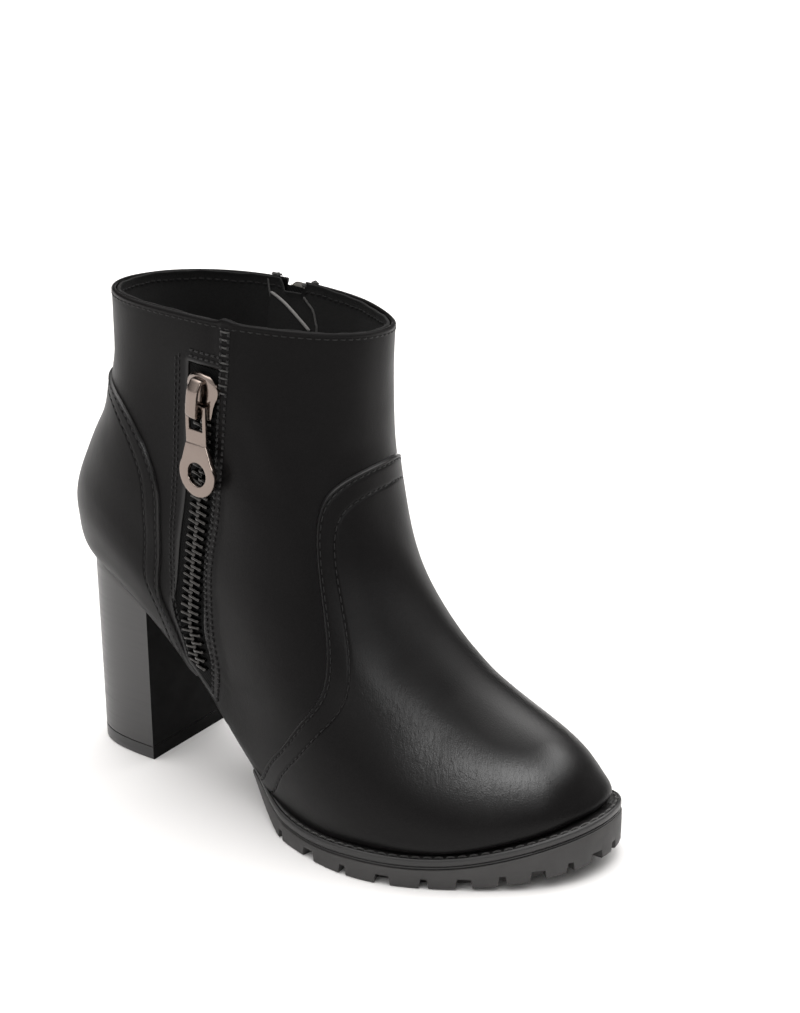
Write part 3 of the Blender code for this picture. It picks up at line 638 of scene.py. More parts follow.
def sheet(outer, inner, closed_end=False):
    rows, columns = outer.shape[:2]
    return walled_grid(outer, inner, np.ones((rows - 1, columns - 1), bool), False, closed_end)


def ladder(first, count):
    """Faces that fill a loop which runs from a tip down one side and back up the other."""
    rungs = []
    for i in range((count - 1) // 2):
        rung = [i, i + 1, count - 1 - i, (count - i) % count]
        rungs.append([first + point for point in dict.fromkeys(rung)])
    if count % 2 == 0:
        middle = count // 2
        rungs.append([first + point for point in (middle - 1, middle, middle + 1)])
    return rungs


def stacked(loops):
    """A solid through a stack of loops of one length, closed at its first and last loop."""
    count = len(loops[0])
    faces = ladder(0, count)
    for level in range(len(loops) - 1):
        low = level * count
        for i in range(count):
            j = (i + 1) % count
            faces.append([low + j, low + i, low + count + i, low + count + j])
    faces += [face[::-1] for face in ladder((len(loops) - 1) * count, count)]
    return np.concatenate(loops), faces


# Creases and dents of the leather: both ends as angle and ring, half width and depth
CREASES = (
    (1.12, 8.35, 1.02, 7.75, 7.0, 0.55),
    (1.02, 8.55, 0.92, 7.95, 5.0, -0.30),
    (0.72, 8.25, 0.86, 7.55, 6.0, 0.35),
    (0.25, 8.30, -0.35, 8.25, 6.0, 0.40),
    (0.95, 6.10, 1.15, 5.40, 8.0, 0.35),
    (0.35, 5.10, -0.30, 5.05, 8.0, 0.45),
    (0.30, 4.35, -0.35, 4.30, 6.0, 0.35),
    (0.75, 3.10, 0.55, 3.75, 6.0, 0.30),
    (2.45, 7.10, 2.80, 6.80, 7.0, 0.35),
    (2.60, 8.70, 3.60, 8.75, 6.0, 0.40),
    (5.15, 8.30, 5.25, 7.60, 7.0, 0.45),
    (5.35, 5.80, 5.20, 5.00, 8.0, 0.35),
    (0.22, 1.30, -0.45, 1.30, 8.0, 1.30),
)
# Slow waves of the leather, as a direction with the wave number per millimetre, a phase and a height
WAVES = (
    ((0.11, 0.05, 0.07), 0.4, 0.10),
    ((-0.06, 0.13, 0.10), 1.9, 0.08),
    ((0.04, -0.09, 0.17), 3.1, 0.06),
)
# Lapped seam in front of the window: its middle and half width from the border's line, its slope and its rise
LAP_MIDDLE = -11.2
LAP_HALF = 2.6
LAP_SLOPE = 0.9
LAP_RISE = 0.25
COLLAR_LAP_RISE = 0.55
COLLAR_LAP_RINGS = (9.3, 9.6)


def relief(angle, ring):
    """Height of the leather above the last's skin from creases, slow waves and the lapped seam."""
    points = skin(angle, ring)
    height = np.zeros(points.shape[:-1])
    for start_angle, start_ring, end_angle, end_ring, half, depth in CREASES:
        start = skin(start_angle, start_ring)
        run = skin(end_angle, end_ring) - start
        share = np.clip(((points - start) @ run) / (run @ run), 0, 1)
        distance = np.linalg.norm(points - start - share[..., None] * run, axis=-1)
        height -= depth * bell(distance, half)
    for direction, phase, size in WAVES:
        height += size * np.sin(points @ np.array(direction) + phase)
    ring = np.broadcast_to(np.asarray(ring, float), height.shape)
    lap = 1 - ease(np.abs(border.across(angle, ring) - LAP_MIDDLE), LAP_HALF, LAP_HALF + LAP_SLOPE)
    return height + lap * (LAP_RISE + COLLAR_LAP_RISE * ease(ring, *COLLAR_LAP_RINGS))


def on_leather(angle, ring, height=0.0):
    return layer(angle, ring, relief(angle, ring) + height)


# Upper
# Columns beside a slot and rows below the collar, in millimetres from the edge
EDGE_STEPS = np.array([0.0, 0.15, 0.35, 0.65, 1.1, 1.8])
RIM_STEPS = np.array([1.5, 1.1, 0.75, 0.45, 0.22, 0.07, 0.0])
RIM_RING_HEIGHT = 21.0
# Rows beside the window's ends and between them, in rings
WINDOW_STEPS = np.array([0.012, 0.035, 0.07])
WINDOW_CLEAR = 0.12
TOP_CLEAR = 0.1
LOW_ROWS = 10
WINDOW_ROWS = 112
TOP_ROWS = 12
FRONT_COLUMNS = 84
BACK_COLUMNS = 36
LATERAL_SLOT_COLUMNS = 6
MEDIAL_SLOT_COLUMNS = 4
LEATHER_THICKNESS = 1.3
RIM_THICKENING = 0.45
RIM_RUN = 2.5
RIM_ROUND = 0.8
RIM_ROLL = 0.85
RIM_STITCH = 2.2
# Bead along the collar and groove of its stitch row: height or depth, place below the edge and width
RIM_BEAD = (0.15, 0.9, 0.6)
RIM_GROOVE = (0.25, RIM_STITCH, 0.5)
# Step in the collar where the front part laps over the back part, measured from the border's line
STEP_START = (8.0, 8.7)
STEP_END = (9.6, 17.0)
STEP_RISE = 1.25
STEP_DEPTH = 1.8
NEAR_COLLAR_RING = COLLAR_RING - 0.05
ROLL_WIDTH = 1.1
ROLL_DEPTH = 0.8
BASE_WRINKLE = 0.12
WINDOW_EDGE_GLOSS = 0.7


def slot_columns(slot, steps):
    """Distances from a zip's line of the columns in and beside a slot."""
    front, back = slot
    between = np.linspace(front, back, steps + 1)[1:-1]
    return np.concatenate([front - EDGE_STEPS[::-1], between, back + EDGE_STEPS])


def upper_columns(ring):
    """Angles of the upper's columns at a ring, close together at the slots' edges."""
    lateral_angles = lateral_zip.beside(ring, slot_columns(LATERAL_SLOT, LATERAL_SLOT_COLUMNS))
    medial_angles = medial_zip.beside(ring, slot_columns(MEDIAL_SLOT, MEDIAL_SLOT_COLUMNS)[::-1])
    return np.concatenate([
        np.linspace(0, lateral_angles[0], FRONT_COLUMNS, endpoint=False),
        lateral_angles,
        np.linspace(lateral_angles[-1], np.pi, BACK_COLUMNS, endpoint=False)[1:],
        np.linspace(np.pi, medial_angles[0], BACK_COLUMNS, endpoint=False),
        medial_angles,
        np.linspace(medial_angles[-1], FULL_TURN, FRONT_COLUMNS, endpoint=False)[1:],
    ])


def upper_rings():
    low, high = LATERAL_WINDOW_RINGS
    rings = [
        np.linspace(0, low, LOW_ROWS, endpoint=False),
        np.linspace(low + WINDOW_CLEAR, high - WINDOW_CLEAR, WINDOW_ROWS),
        np.linspace(high + TOP_CLEAR, COLLAR_RING - WINDOW_CLEAR, TOP_ROWS),
        COLLAR_RING - RIM_STEPS / RIM_RING_HEIGHT,
    ]
    for end in (low, high):
        rings += [end - WINDOW_STEPS, [end], end + WINDOW_STEPS]
    rings = np.sort(np.concatenate(rings))
    rings[np.abs(rings - MEDIAL_SLIT_START_RING).argmin()] = MEDIAL_SLIT_START_RING
    return rings


def edge_roll(distance, width=ROLL_WIDTH, depth=ROLL_DEPTH):
    """Drop of a folded edge's surface at a distance from the edge."""
    near = np.clip(1 - distance / width, 0, 1)
    return depth * (1 - np.sqrt(1 - near**2))


def rim_mm(angle):
    """Millimetres of a ring's height at the collar."""
    return np.linalg.norm(skin_slopes(angle, np.full_like(angle, NEAR_COLLAR_RING))[1], axis=-1)


def rim_lift(angle, from_collar):
    """Rise of the collar where the front part laps over the back part."""
    forward = -border.across(angle, np.full_like(angle, COLLAR_RING))
    lap = ease(forward, *STEP_START) * (1 - ease(forward, *STEP_END))
    return STEP_RISE * lap * bell(from_collar, STEP_DEPTH)


def beyond(value, low, high):
    """How far a value lies outside a range."""
    return np.maximum(np.maximum(low - value, value - high), 0)


def along_mm(line, ring):
    return np.interp(ring, *line.run(0, COLLAR_RING))


def opening_distance(line, angle, ring, slot, first, last):
    """Distance of a place from a slot that lies along a zip's line."""
    aside = beyond(line.across(angle, ring), *slot)
    run = beyond(along_mm(line, ring), along_mm(line, first), along_mm(line, last))
    return np.hypot(aside, run)


def make_upper():
    rings = upper_rings()
    angles = np.array([upper_columns(ring) for ring in rings])
    ring_grid = drawn_up(angles, np.broadcast_to(rings[:, None], angles.shape))
    low, high = LATERAL_WINDOW_RINGS
    middle = (rings[1:] + rings[:-1]) / 2
    present = np.ones((len(rings) - 1, angles.shape[1]), bool)
    first = FRONT_COLUMNS + len(EDGE_STEPS) - 1
    medial_first = first + LATERAL_SLOT_COLUMNS + 2 * (len(EDGE_STEPS) - 1) + 2 * BACK_COLUMNS
    window_rows = (middle > low) & (middle < high)
    present[window_rows, first:first + LATERAL_SLOT_COLUMNS] = False
    present[middle > MEDIAL_SLIT_START_RING, medial_first:medial_first + MEDIAL_SLOT_COLUMNS] = False
    from_window = opening_distance(lateral_zip, angles, ring_grid, LATERAL_SLOT, low, high)
    slit_rings = (MEDIAL_SLIT_START_RING, COLLAR_RING)
    from_slit = opening_distance(medial_zip, angles, ring_grid, MEDIAL_SLOT, *slit_rings)
    drop = np.maximum(edge_roll(from_window), edge_roll(from_slit))
    from_collar = (COLLAR_RING - ring_grid) * rim_mm(angles)
    roll = edge_roll(from_collar, RIM_ROUND, RIM_ROLL)
    rise, place, width = RIM_BEAD
    bead = rise * bell(from_collar - place, width)
    depth, place, width = RIM_GROOVE
    bead = bead - depth * bell(from_collar - place, width)
    outer = on_leather(angles, ring_grid, bead - np.maximum(drop, roll))
    thickness = LEATHER_THICKNESS + RIM_THICKENING * bell(from_collar, RIM_RUN)
    inner = layer(angles, ring_grid, roll - thickness)
    lift = rim_lift(angles, from_collar)
    outer[..., 2] += lift
    inner[..., 2] += lift
    points, faces, used = walled_grid(outer, inner, present, True)
    gloss = WINDOW_EDGE_GLOSS * bell(from_window, ROLL_WIDTH)
    finish = {"gloss": np.tile(gloss.ravel(), 2)[used], "wrinkle": np.full(len(used), BASE_WRINKLE)}
    add_piece("upper_leather", points, faces, LEATHER, "leather", replaces=("upper",), values=finish)


# Panels that lie over the upper: the edge as angle and ring, from the feather up the lateral side
VAMP_EDGE = np.array([
    (1.660, 0.0), (1.615, 0.9), (1.564, 1.68), (1.408, 2.81), (1.189, 3.76), (0.941, 4.60), (0.817, 5.15),
    (0.725, 5.74), (0.661, 6.41), (0.622, 7.00), (0.580, 7.38), (0.500, 7.67), (0.360, 7.86), (0.180, 7.97),
    (0.050, 8.01), (-0.080, 8.02),
])
VAMP_MIDDLE = -0.08
VAMP_SPINE_RING = 6.2
VAMP_SETTLE = 0.55
COUNTER_EDGE = np.array([
    (1.982, 0.0), (1.982, 1.5), (1.993, 2.5), (2.000, 3.4), (1.930, 4.7), (1.872, 5.95), (1.868, 6.41),
    (1.893, 6.77), (1.943, 7.08), (1.993, 7.31), (2.040, 7.45), (2.090, 7.58), (2.155, 7.71), (2.230, 7.82),
    (2.330, 7.91), (2.450, 7.97), (2.700, 8.02), (3.1416, 8.05),
])
COUNTER_SPINE_RING = 7.0
COUNTER_SETTLE = 1.0
# Distances of a panel's columns from its edge, close together at the fold and at the stitch rows
PANEL_NEAR = np.array([
    0.0, 0.06, 0.15, 0.27, 0.42, 0.6, 0.8, 1.0, 1.2, 1.5, 1.8, 2.1, 2.4, 2.8, 3.6, 4.8, 6.0, 7.0, 7.8, 8.3,
    8.7, 9.0, 9.3, 9.6, 10.0, 10.6, 11.6,
])
PANEL_NEAR_SHARE = 0.8
PANEL_FAR = 46
PANEL_ROWS = 190
PANEL_HEIGHT = 1.15
PANEL_BOTTOM = 0.02
PANEL_EDGE_RUN = 1.0
PANEL_EDGE_POWER = 2.6
# Bead inside a panel's edge and grooves of its stitch rows: height or depth, place and width
PANEL_BEAD = (0.18, 0.75, 0.5)
FIRST_STITCH = 1.9
FIRST_GROOVE = (0.30, 0.45)
SECOND_GROOVE = (0.42, 0.5)
VAMP_SECOND_STITCH = 9.2
COUNTER_SECOND_STITCH = 8.2
SETTLE_RUN = 30
BURNISH_WIDTH = 0.55
VAMP_EDGE_GLOSS = 1.0
COUNTER_EDGE_GLOSS = 1.1
LOW_EDGE_RUN = 0.12
COUNTER_LEVEL_ANGLE = 2.4
PATH_STEPS = 260
PATH_MARGIN = 1.3
PATH_PROBE = 0.02
EDGE_FINE_STEPS = 1200


def panel_height(distance, second_stitch, settle_height):
    """Height of a folded panel over the upper, at a distance from its edge."""
    height = PANEL_HEIGHT * (1 - np.clip(1 - distance / PANEL_EDGE_RUN, 0, 1) ** PANEL_EDGE_POWER)
    rise, place, width = PANEL_BEAD
    height = height + rise * bell(distance - place, width)
    for place, (depth, width) in ((FIRST_STITCH, FIRST_GROOVE), (second_stitch, SECOND_GROOVE)):
        height = height - depth * bell(distance - place, width)
    settled = ease(distance, second_stitch, second_stitch + SETTLE_RUN)
    return height + (settle_height - PANEL_HEIGHT) * settled


def panel_paths(edge, spine, level_rows):
    """Paths from points of a panel's edge to its spine, each as a line and the distance along it.

    The last rows' distances are scaled so that lines of equal distance stay level with the edge.
    """
    share = np.linspace(0, 1, PATH_STEPS)
    outline = skin(*edge.T)
    inside = skin(*(edge + PATH_PROBE * (spine - edge)).T)
    slant = np.linalg.norm(np.cross(unit(np.gradient(outline, axis=0)), unit(inside - outline)), axis=-1)
    paths = []
    for row, (start, end) in enumerate(zip(edge, spine)):
        line = start + (end - start) * share[:, None]
        run = run_lengths(skin(*line.T))
        if row >= len(edge) - level_rows:
            run = run * slant[row] / slant[-level_rows]
        paths.append((line, run))
    return paths


def along_path(path, distances):
    line, run = path
    return at_distances(distances, run, line)


def panel_distances(path):
    total = path[1][-1]
    near = PANEL_NEAR * min(1.0, PANEL_NEAR_SHARE * total / PANEL_NEAR[-1])
    far = near[-1] + (total - near[-1]) * np.linspace(0, 1, PANEL_FAR + 1)[1:]
    return np.concatenate([near, far])


def even_rows(edge, count):
    """Points evenly spaced along an edge of the skin, from a row of angles and rings."""
    knots = run_lengths(skin(*edge.T))
    fine = smooth_curve(knots, edge)(np.linspace(0, knots[-1], EDGE_FINE_STEPS))
    run = run_lengths(skin(*fine.T))
    return at_distances(np.linspace(0, run[-1], count), run, fine)


def spine_along(edge, angle, top_ring):
    """The line in a panel's middle at which the paths from its edge end."""
    return np.stack([np.full(len(edge), angle), top_ring * edge[:, 1] / edge[-1, 1]], axis=-1)


def doubled(grid):
    """A grid of values and its mirror image, which share the column in the middle."""
    return np.concatenate([grid, grid[:, -2::-1]], axis=1)


def make_panel(name, node, paths, middle, second_stitch, settle_height, finish_at, edge_gloss):
    """A panel from its lateral edge over its spine to its medial edge, which is the mirror image."""
    distances = np.array([panel_distances(path) for path in paths])
    places = np.array([along_path(path, row) for path, row in zip(paths, distances)])
    angle = np.concatenate([places[..., 0], 2 * middle - places[:, -2::-1, 0]], axis=1)
    ring = drawn_up(angle, doubled(places[..., 1]))
    height = doubled(panel_height(distances, second_stitch, settle_height))
    gloss, wrinkle = finish_at(angle, ring)
    gloss = np.maximum(gloss, doubled(edge_gloss * bell(distances, BURNISH_WIDTH)))
    outer = on_leather(angle, ring, height)
    points, faces, used = sheet(outer, on_leather(angle, ring, PANEL_BOTTOM), closed_end=True)
    finish = {"gloss": np.tile(gloss.ravel(), 2)[used], "wrinkle": np.tile(wrinkle.ravel(), 2)[used]}
    add_piece(name, points, faces, LEATHER, "leather", replaces=(node,), values=finish)


# Glossy and wrinkled arc round the lateral shoulder of the toe: angle, ring, half width, gloss and wrinkle
SHOULDER_ARC = np.array([
    (0.66, 4.60, 13.0, 0.25, 0.50), (0.64, 4.27, 13.0, 0.35, 0.90), (0.64, 3.84, 13.0, 0.50, 1.00),
    (0.64, 3.52, 13.0, 0.65, 1.00), (0.60, 3.19, 12.5, 0.80, 0.85), (0.53, 2.86, 11.5, 0.95, 0.65),
    (0.41, 2.68, 10.0, 1.10, 0.50), (0.25, 2.62, 8.5, 1.20, 0.35), (0.12, 2.75, 8.0, 0.90, 0.20),
])
# Glossy top of the toe: angle, ring, half width and gloss
TOE_TOP = (0.02, 3.50, 20.0, 0.55)
ARC_STEPS = 36
LOW_VAMP_GLOSS = 0.09
LOW_GLOSS_RINGS = (1.5, 4.0)


def vamp_finish(angle, ring):
    """Gloss and wrinkles of the vamp."""
    place = skin(angle, ring)
    top_angle, top_ring, top_half, top_gloss = TOE_TOP
    gloss = top_gloss * bell(np.linalg.norm(place - skin(top_angle, top_ring), axis=-1), top_half)
    gloss = np.maximum(gloss, LOW_VAMP_GLOSS * (1 - ease(ring, *LOW_GLOSS_RINGS)))
    wrinkle = np.zeros_like(gloss)
    for arc_angle, arc_ring, arc_half, arc_gloss, arc_wrinkle in resampled(SHOULDER_ARC, ARC_STEPS):
        near = bell(np.linalg.norm(place - skin(arc_angle, arc_ring), axis=-1), arc_half)
        gloss = np.maximum(gloss, arc_gloss * near)
        wrinkle = np.maximum(wrinkle, arc_wrinkle * near)
    return gloss, np.maximum(wrinkle, BASE_WRINKLE)


def counter_finish(angle, ring):
    """Gloss and wrinkles of the counter, whose lower edge is burnished."""
    low_edge = drawn_up(angle, np.zeros_like(ring))
    gloss = COUNTER_EDGE_GLOSS * bell(ring - low_edge, LOW_EDGE_RUN)
    return gloss, np.full_like(gloss, BASE_WRINKLE)


def make_vamp():
    edge = even_rows(VAMP_EDGE, PANEL_ROWS)
    paths = panel_paths(edge, spine_along(edge, VAMP_MIDDLE, VAMP_SPINE_RING), 0)
    make_panel(
        "vamp", "vamp_band", paths, VAMP_MIDDLE, VAMP_SECOND_STITCH, VAMP_SETTLE, vamp_finish, VAMP_EDGE_GLOSS
    )
    return paths


def make_counter():
    edge = even_rows(COUNTER_EDGE, PANEL_ROWS)
    level_rows = int((edge[:, 0] > COUNTER_LEVEL_ANGLE).sum())
    paths = panel_paths(edge, spine_along(edge, np.pi, COUNTER_SPINE_RING), level_rows)
    make_panel(
        "heel_counter_leather", "heel_counter", paths, np.pi, COUNTER_SECOND_STITCH, COUNTER_SETTLE,
        counter_finish, COUNTER_EDGE_GLOSS,
    )
    return paths


# Stitches
STITCH_SIDES = 6
STITCH_SHARES = np.array([0.0, 0.12, 0.5, 0.88, 1.0])
STITCH_RISE = np.array([-1.2, 0.1, 0.75, 0.1, -1.2])
STITCH_WIDTH = np.array([0.55, 0.95, 1.0, 0.95, 0.55])
# Kinds of stitches: pitch, length, radius and, where it isn't 1, the width for its height
PANEL_STITCH = (3.2, 2.5, 0.27)
COLLAR_STITCH = (3.0, 2.3, 0.26)
LINING_THREAD = (3.2, 2.5, 0.3)
BORDER_STITCH = (2.6, 2.0, 0.27)
LADDER_STITCH = (2.5, 1.75, 0.42, 1.25)
LEVEL_STITCH = (2.5, 1.9, 0.36, 1.2)
BAR_STITCH = (10.0, 4.2, 0.34)
WELT_STITCH = (4.2, 3.3, 0.36)


class Bundle:
    """Points and faces of many small shapes that make one piece."""

    def __init__(self):
        self.points = []
        self.faces = []

    def add(self, points, faces):
        first = len(self.points)
        self.points += [tuple(point) for point in points]
        self.faces += [[first + point for point in face] for face in faces]

    def piece(self, name, material, slot, **options):
        return add_piece(name, np.array(self.points), self.faces, material, slot, **options)


def tube_faces(rings, sides):
    """Faces of a tube through rings of points, closed at both ends."""
    faces = []
    for ring in range(rings - 1):
        for i in range(sides):
            j = (i + 1) % sides
            faces.append([ring * sides + i, ring * sides + j, (ring + 1) * sides + j, (ring + 1) * sides + i])
    faces.append(list(range(sides))[::-1])
    faces.append([(rings - 1) * sides + i for i in range(sides)])
    return faces


def across_row(points, normals):
    """Sideways direction at each point of a row."""
    return unit(np.cross(unit(np.gradient(points, axis=0)), normals))


def tube_points(centres, normals, sideways, high, wide, sides):
    """Rings of points round a row of centres, from half heights and half widths."""
    turn = full_turn(sides)
    ring = centres[:, None] + normals[:, None] * (high[:, None] * np.sin(turn))[..., None]
    ring = ring + sideways[:, None] * (wide[:, None] * np.cos(turn))[..., None]
    return ring.reshape(-1, 3)


def stitch_row(bundle, points, normals, pitch, length, radius, width=1.0):
    """Stitches along a row of points, each dipping into the leather at its two ends."""
    run = run_lengths(points)
    size = radius * STITCH_WIDTH
    faces = tube_faces(len(STITCH_SHARES), STITCH_SIDES)
    for start in np.arange(0, run[-1] - length, pitch):
        places = start + length * STITCH_SHARES
        centre = at_distances(places, run, points)
        normal = unit(at_distances(places, run, normals))
        sideways = across_row(centre, normal)
        centre = centre + normal * (radius * STITCH_RISE)[:, None]
        bundle.add(tube_points(centre, normal, sideways, size, width * size, STITCH_SIDES), faces)


def panel_row(paths, distance, height, middle):
    """Both halves of a line at a distance inside a panel's edge, as points and normals."""
    long_enough = [path for path in paths if path[1][-1] > PATH_MARGIN * distance]
    places = np.array([along_path(path, [distance])[0] for path in long_enough])
    rows = []
    for angle in (places[:, 0], 2 * middle - places[:, 0]):
        ring = drawn_up(angle, places[:, 1])
        rows.append((on_leather(angle, ring, height), outward(angle, ring)))
    return rows


# Rows beside a line, as ring and distance from the line
LEFT_ROW = np.array([(1.4, 5.2), (3.05, 7.2), (5.7, 8.6), (7.0, 10.6), (8.2, 10.8), (10.0, 9.9)])
LADDER_ROW = np.array([
    (1.4, -7.4), (3.64, -7.6), (5.12, -9.0), (6.8, -9.6), (8.0, -9.9), (9.15, -9.7), (10.0, -9.2),
])
STRAIGHT_ROW = np.array([(0.0, 0.0), (10.0, 0.0)])
ROW_STEPS = 300
LEVEL_STEPS = 60


def zip_row(line, first, last, row, distance, height):
    """A row of stitches beside a line, at a further distance from the row's own place."""
    rings = np.linspace(first, last, ROW_STEPS)
    angles = line.beside(rings, np.interp(rings, *row.T) + distance)
    return on_leather(angles, rings, height), outward(angles, rings)


def level_row(line, ring, first, last, height):
    """A row across a zip's line at one ring."""
    rings = np.full(LEVEL_STEPS, ring)
    angles = line.beside(rings, np.linspace(first, last, LEVEL_STEPS))
    return on_leather(angles, rings, height), outward(angles, rings)


THREAD_RISE = 0.05
COLLAR_THREAD_SINK = 0.15
COLLAR_ROW_CLEAR = 1.5
COLLAR_ROW_STEPS = 900
# Rows along the window's border: distances from the row's place, and clearances from the ends in rings
LEFT_ROWS = (0.0, 1.7)
LADDER_ROWS = (0.0, -2.9)
ROW_CLEAR = 0.1
LADDER_CLEAR = 0.12
# Rows above the window: height above it in rings, and the distances of their ends from the border's line
LEVEL_ROWS = (0.11, 0.20)
LEVEL_ENDS = (-9.0, 7.0)
# Bars across the ladder's top: first and last ring, pitch, ends beside the ladder's place, points and height
BAR_RINGS = (8.95, 9.95)
BAR_PITCH = 2.8
BAR_ENDS = (0.9, -3.8)
BAR_STEPS = 12
BAR_HEIGHT = 0.1
SLIT_ROW_CLEAR = 1.8
SLIT_ROW_RINGS = (MEDIAL_SLIT_START_RING - 0.15, COLLAR_RING - 0.2)


def stitch_panels(vamp_paths, counter_paths):
    rows = ((vamp_paths, VAMP_SECOND_STITCH, VAMP_MIDDLE), (counter_paths, COUNTER_SECOND_STITCH, np.pi))
    panels = Bundle()
    for paths, second, middle in rows:
        for distance in (FIRST_STITCH, second):
            height = float(panel_height(np.array(distance), second, PANEL_HEIGHT)) + THREAD_RISE
            for points, normals in panel_row(paths, distance, height, middle):
                stitch_row(panels, points, normals, *PANEL_STITCH)
    panels.piece("stitches_panels", THREAD, "zip_cloth")


def stitch_collar():
    collar = Bundle()
    first = float(medial_zip.beside(COLLAR_RING, MEDIAL_SLOT[0] - COLLAR_ROW_CLEAR)) - FULL_TURN
    last = float(medial_zip.beside(COLLAR_RING, MEDIAL_SLOT[1] + COLLAR_ROW_CLEAR))
    angles = np.linspace(first, last, COLLAR_ROW_STEPS)
    rings = COLLAR_RING - RIM_STITCH / rim_mm(angles)
    stitch_row(collar, on_leather(angles, rings, -COLLAR_THREAD_SINK), outward(angles, rings), *COLLAR_STITCH)
    rings = lining_top(angles) - LINING_STITCH / rim_mm(angles)
    inside = layer(angles, rings, lining_depth(np.full_like(angles, LINING_STITCH), True))
    stitch_row(collar, inside, -outward(angles, rings), *LINING_THREAD)
    collar.piece("stitches_collar", THREAD, "zip_cloth")


def stitch_bars():
    bars = Bundle()
    distances = np.arange(0, border.length(*BAR_RINGS), BAR_PITCH)
    for ring in border.rings_at(*BAR_RINGS, distances):
        rings = np.full(BAR_STEPS, ring)
        places = np.interp(ring, *LADDER_ROW.T) + np.linspace(*BAR_ENDS, BAR_STEPS)
        angles = border.beside(rings, places)
        stitch_row(bars, on_leather(angles, rings, BAR_HEIGHT), outward(angles, rings), *BAR_STITCH)
    bars.piece("stitches_bars", SEAM, "zip_cloth")


def stitch_zips():
    sides = Bundle()
    low, high = LATERAL_WINDOW_RINGS
    for distance in LEFT_ROWS:
        row = zip_row(border, low + ROW_CLEAR, high + ROW_CLEAR, LEFT_ROW, distance, 0.0)
        stitch_row(sides, *row, *BORDER_STITCH)
    for distance in LADDER_ROWS:
        row = zip_row(border, low + ROW_CLEAR, COLLAR_RING - LADDER_CLEAR, LADDER_ROW, distance, THREAD_RISE)
        stitch_row(sides, *row, *LADDER_STITCH)
    for above in LEVEL_ROWS:
        stitch_row(sides, *level_row(border, high + above, *LEVEL_ENDS, 0.0), *LEVEL_STITCH)
    for distance in (MEDIAL_SLOT[0] - SLIT_ROW_CLEAR, MEDIAL_SLOT[1] + SLIT_ROW_CLEAR):
        row = zip_row(medial_zip, *SLIT_ROW_RINGS, STRAIGHT_ROW, distance, 0.0)
        stitch_row(sides, *row, *COLLAR_STITCH)
    sides.piece("stitches_zips", THREAD, "zip_cloth")


# Lining
LINING_COLUMNS = 240
LINING_ROWS = 60
LINING_DEPTH = 1.85
LINING_THICKNESS = 0.75
LINING_RIM = 0.45
LINING_STITCH = 3.4
LINING_LOW_RING = 0.25
LINING_DROP = 0.35
# Waves of the lining's top edge: height, number round the collar and phase
LINING_WAVES = ((0.16, 5, 0.4), (0.12, 13, 1.1), (0.10, 29, 0.0))
# Lean and fold of the lining's top: depth and how far down it reaches
LINING_LEAN = (0.35, 3.0)
LINING_FOLD = (0.25, 1.2)
LINING_RIM_STEPS = np.array([0.0, 0.06, 0.16, 0.3, 0.45, 0.8, 1.3, 2.0, 3.0, 4.2])
ZIP_DIP = 4.5
ZIP_DIP_SLOPE = (0.3, 2.2)
# Size of a cord's ends for its thickness
CORD_END = 0.4


def lining_top(angle):
    """Ring of the lining's top edge, a little below the leather's, wavy, and dipped behind the entry zip."""
    waves = sum(height * np.sin(number * angle + phase) for height, number, phase in LINING_WAVES)
    aside = beyond(medial_zip.across(angle % FULL_TURN, np.full_like(angle, COLLAR_RING)), *MEDIAL_SLOT)
    dip = ZIP_DIP * (1 - ease(aside, *ZIP_DIP_SLOPE))
    return COLLAR_RING - (LINING_DROP + waves + dip) / rim_mm(angle)


def lining_depth(from_top, inside):
    """Depth of the lining below the skin: it leans in at its top, where it is folded over."""
    lean, fold = (depth * bell(from_top, reach) for depth, reach in (LINING_LEAN, LINING_FOLD))
    near = np.clip(1 - from_top / LINING_RIM, 0, 1)
    roll = (1 - np.sqrt(1 - near**2)) * (0.5 * LINING_THICKNESS + fold)
    if inside:
        return -(LINING_DEPTH + LINING_THICKNESS + lean + 2 * fold - roll)
    return -(LINING_DEPTH + lean + roll)


def make_lining():
    angles = full_turn(LINING_COLUMNS)
    top = lining_top(angles)
    scale = rim_mm(angles)
    rim = top - LINING_RIM_STEPS[::-1, None] / scale
    share = np.linspace(0, 1, LINING_ROWS, endpoint=False)[:, None]
    rings = np.concatenate([LINING_LOW_RING + (rim[0] - LINING_LOW_RING) * share, rim])
    from_top = (top - rings) * scale
    angle_grid = np.broadcast_to(angles, rings.shape)
    rings = drawn_up(angle_grid, rings)
    outer = layer(angle_grid, rings, lining_depth(from_top, False))
    inner = layer(angle_grid, rings, lining_depth(from_top, True))
    points, faces, _ = walled_grid(outer, inner, np.ones((len(rings) - 1, len(angles)), bool), True)
    add_piece("lining", points, faces, LINING, "board")


def inner_row(places, height, count):
    """Points and normals on the inside of the lining, through places given as angle and ring."""
    angles, rings = resampled(places, count).T
    return layer(angles, rings, height), -outward(angles, rings)


def cord_along(bundle, points, normals, radius, sides=8, flat=1.0):
    """A tube along a row of points, narrower at both ends."""
    size = np.full(len(points), radius)
    size[[0, -1]] = CORD_END * radius
    rings = tube_points(points, normals, across_row(points, normals), size * flat, size, sides)
    bundle.add(rings, tube_faces(len(points), sides))


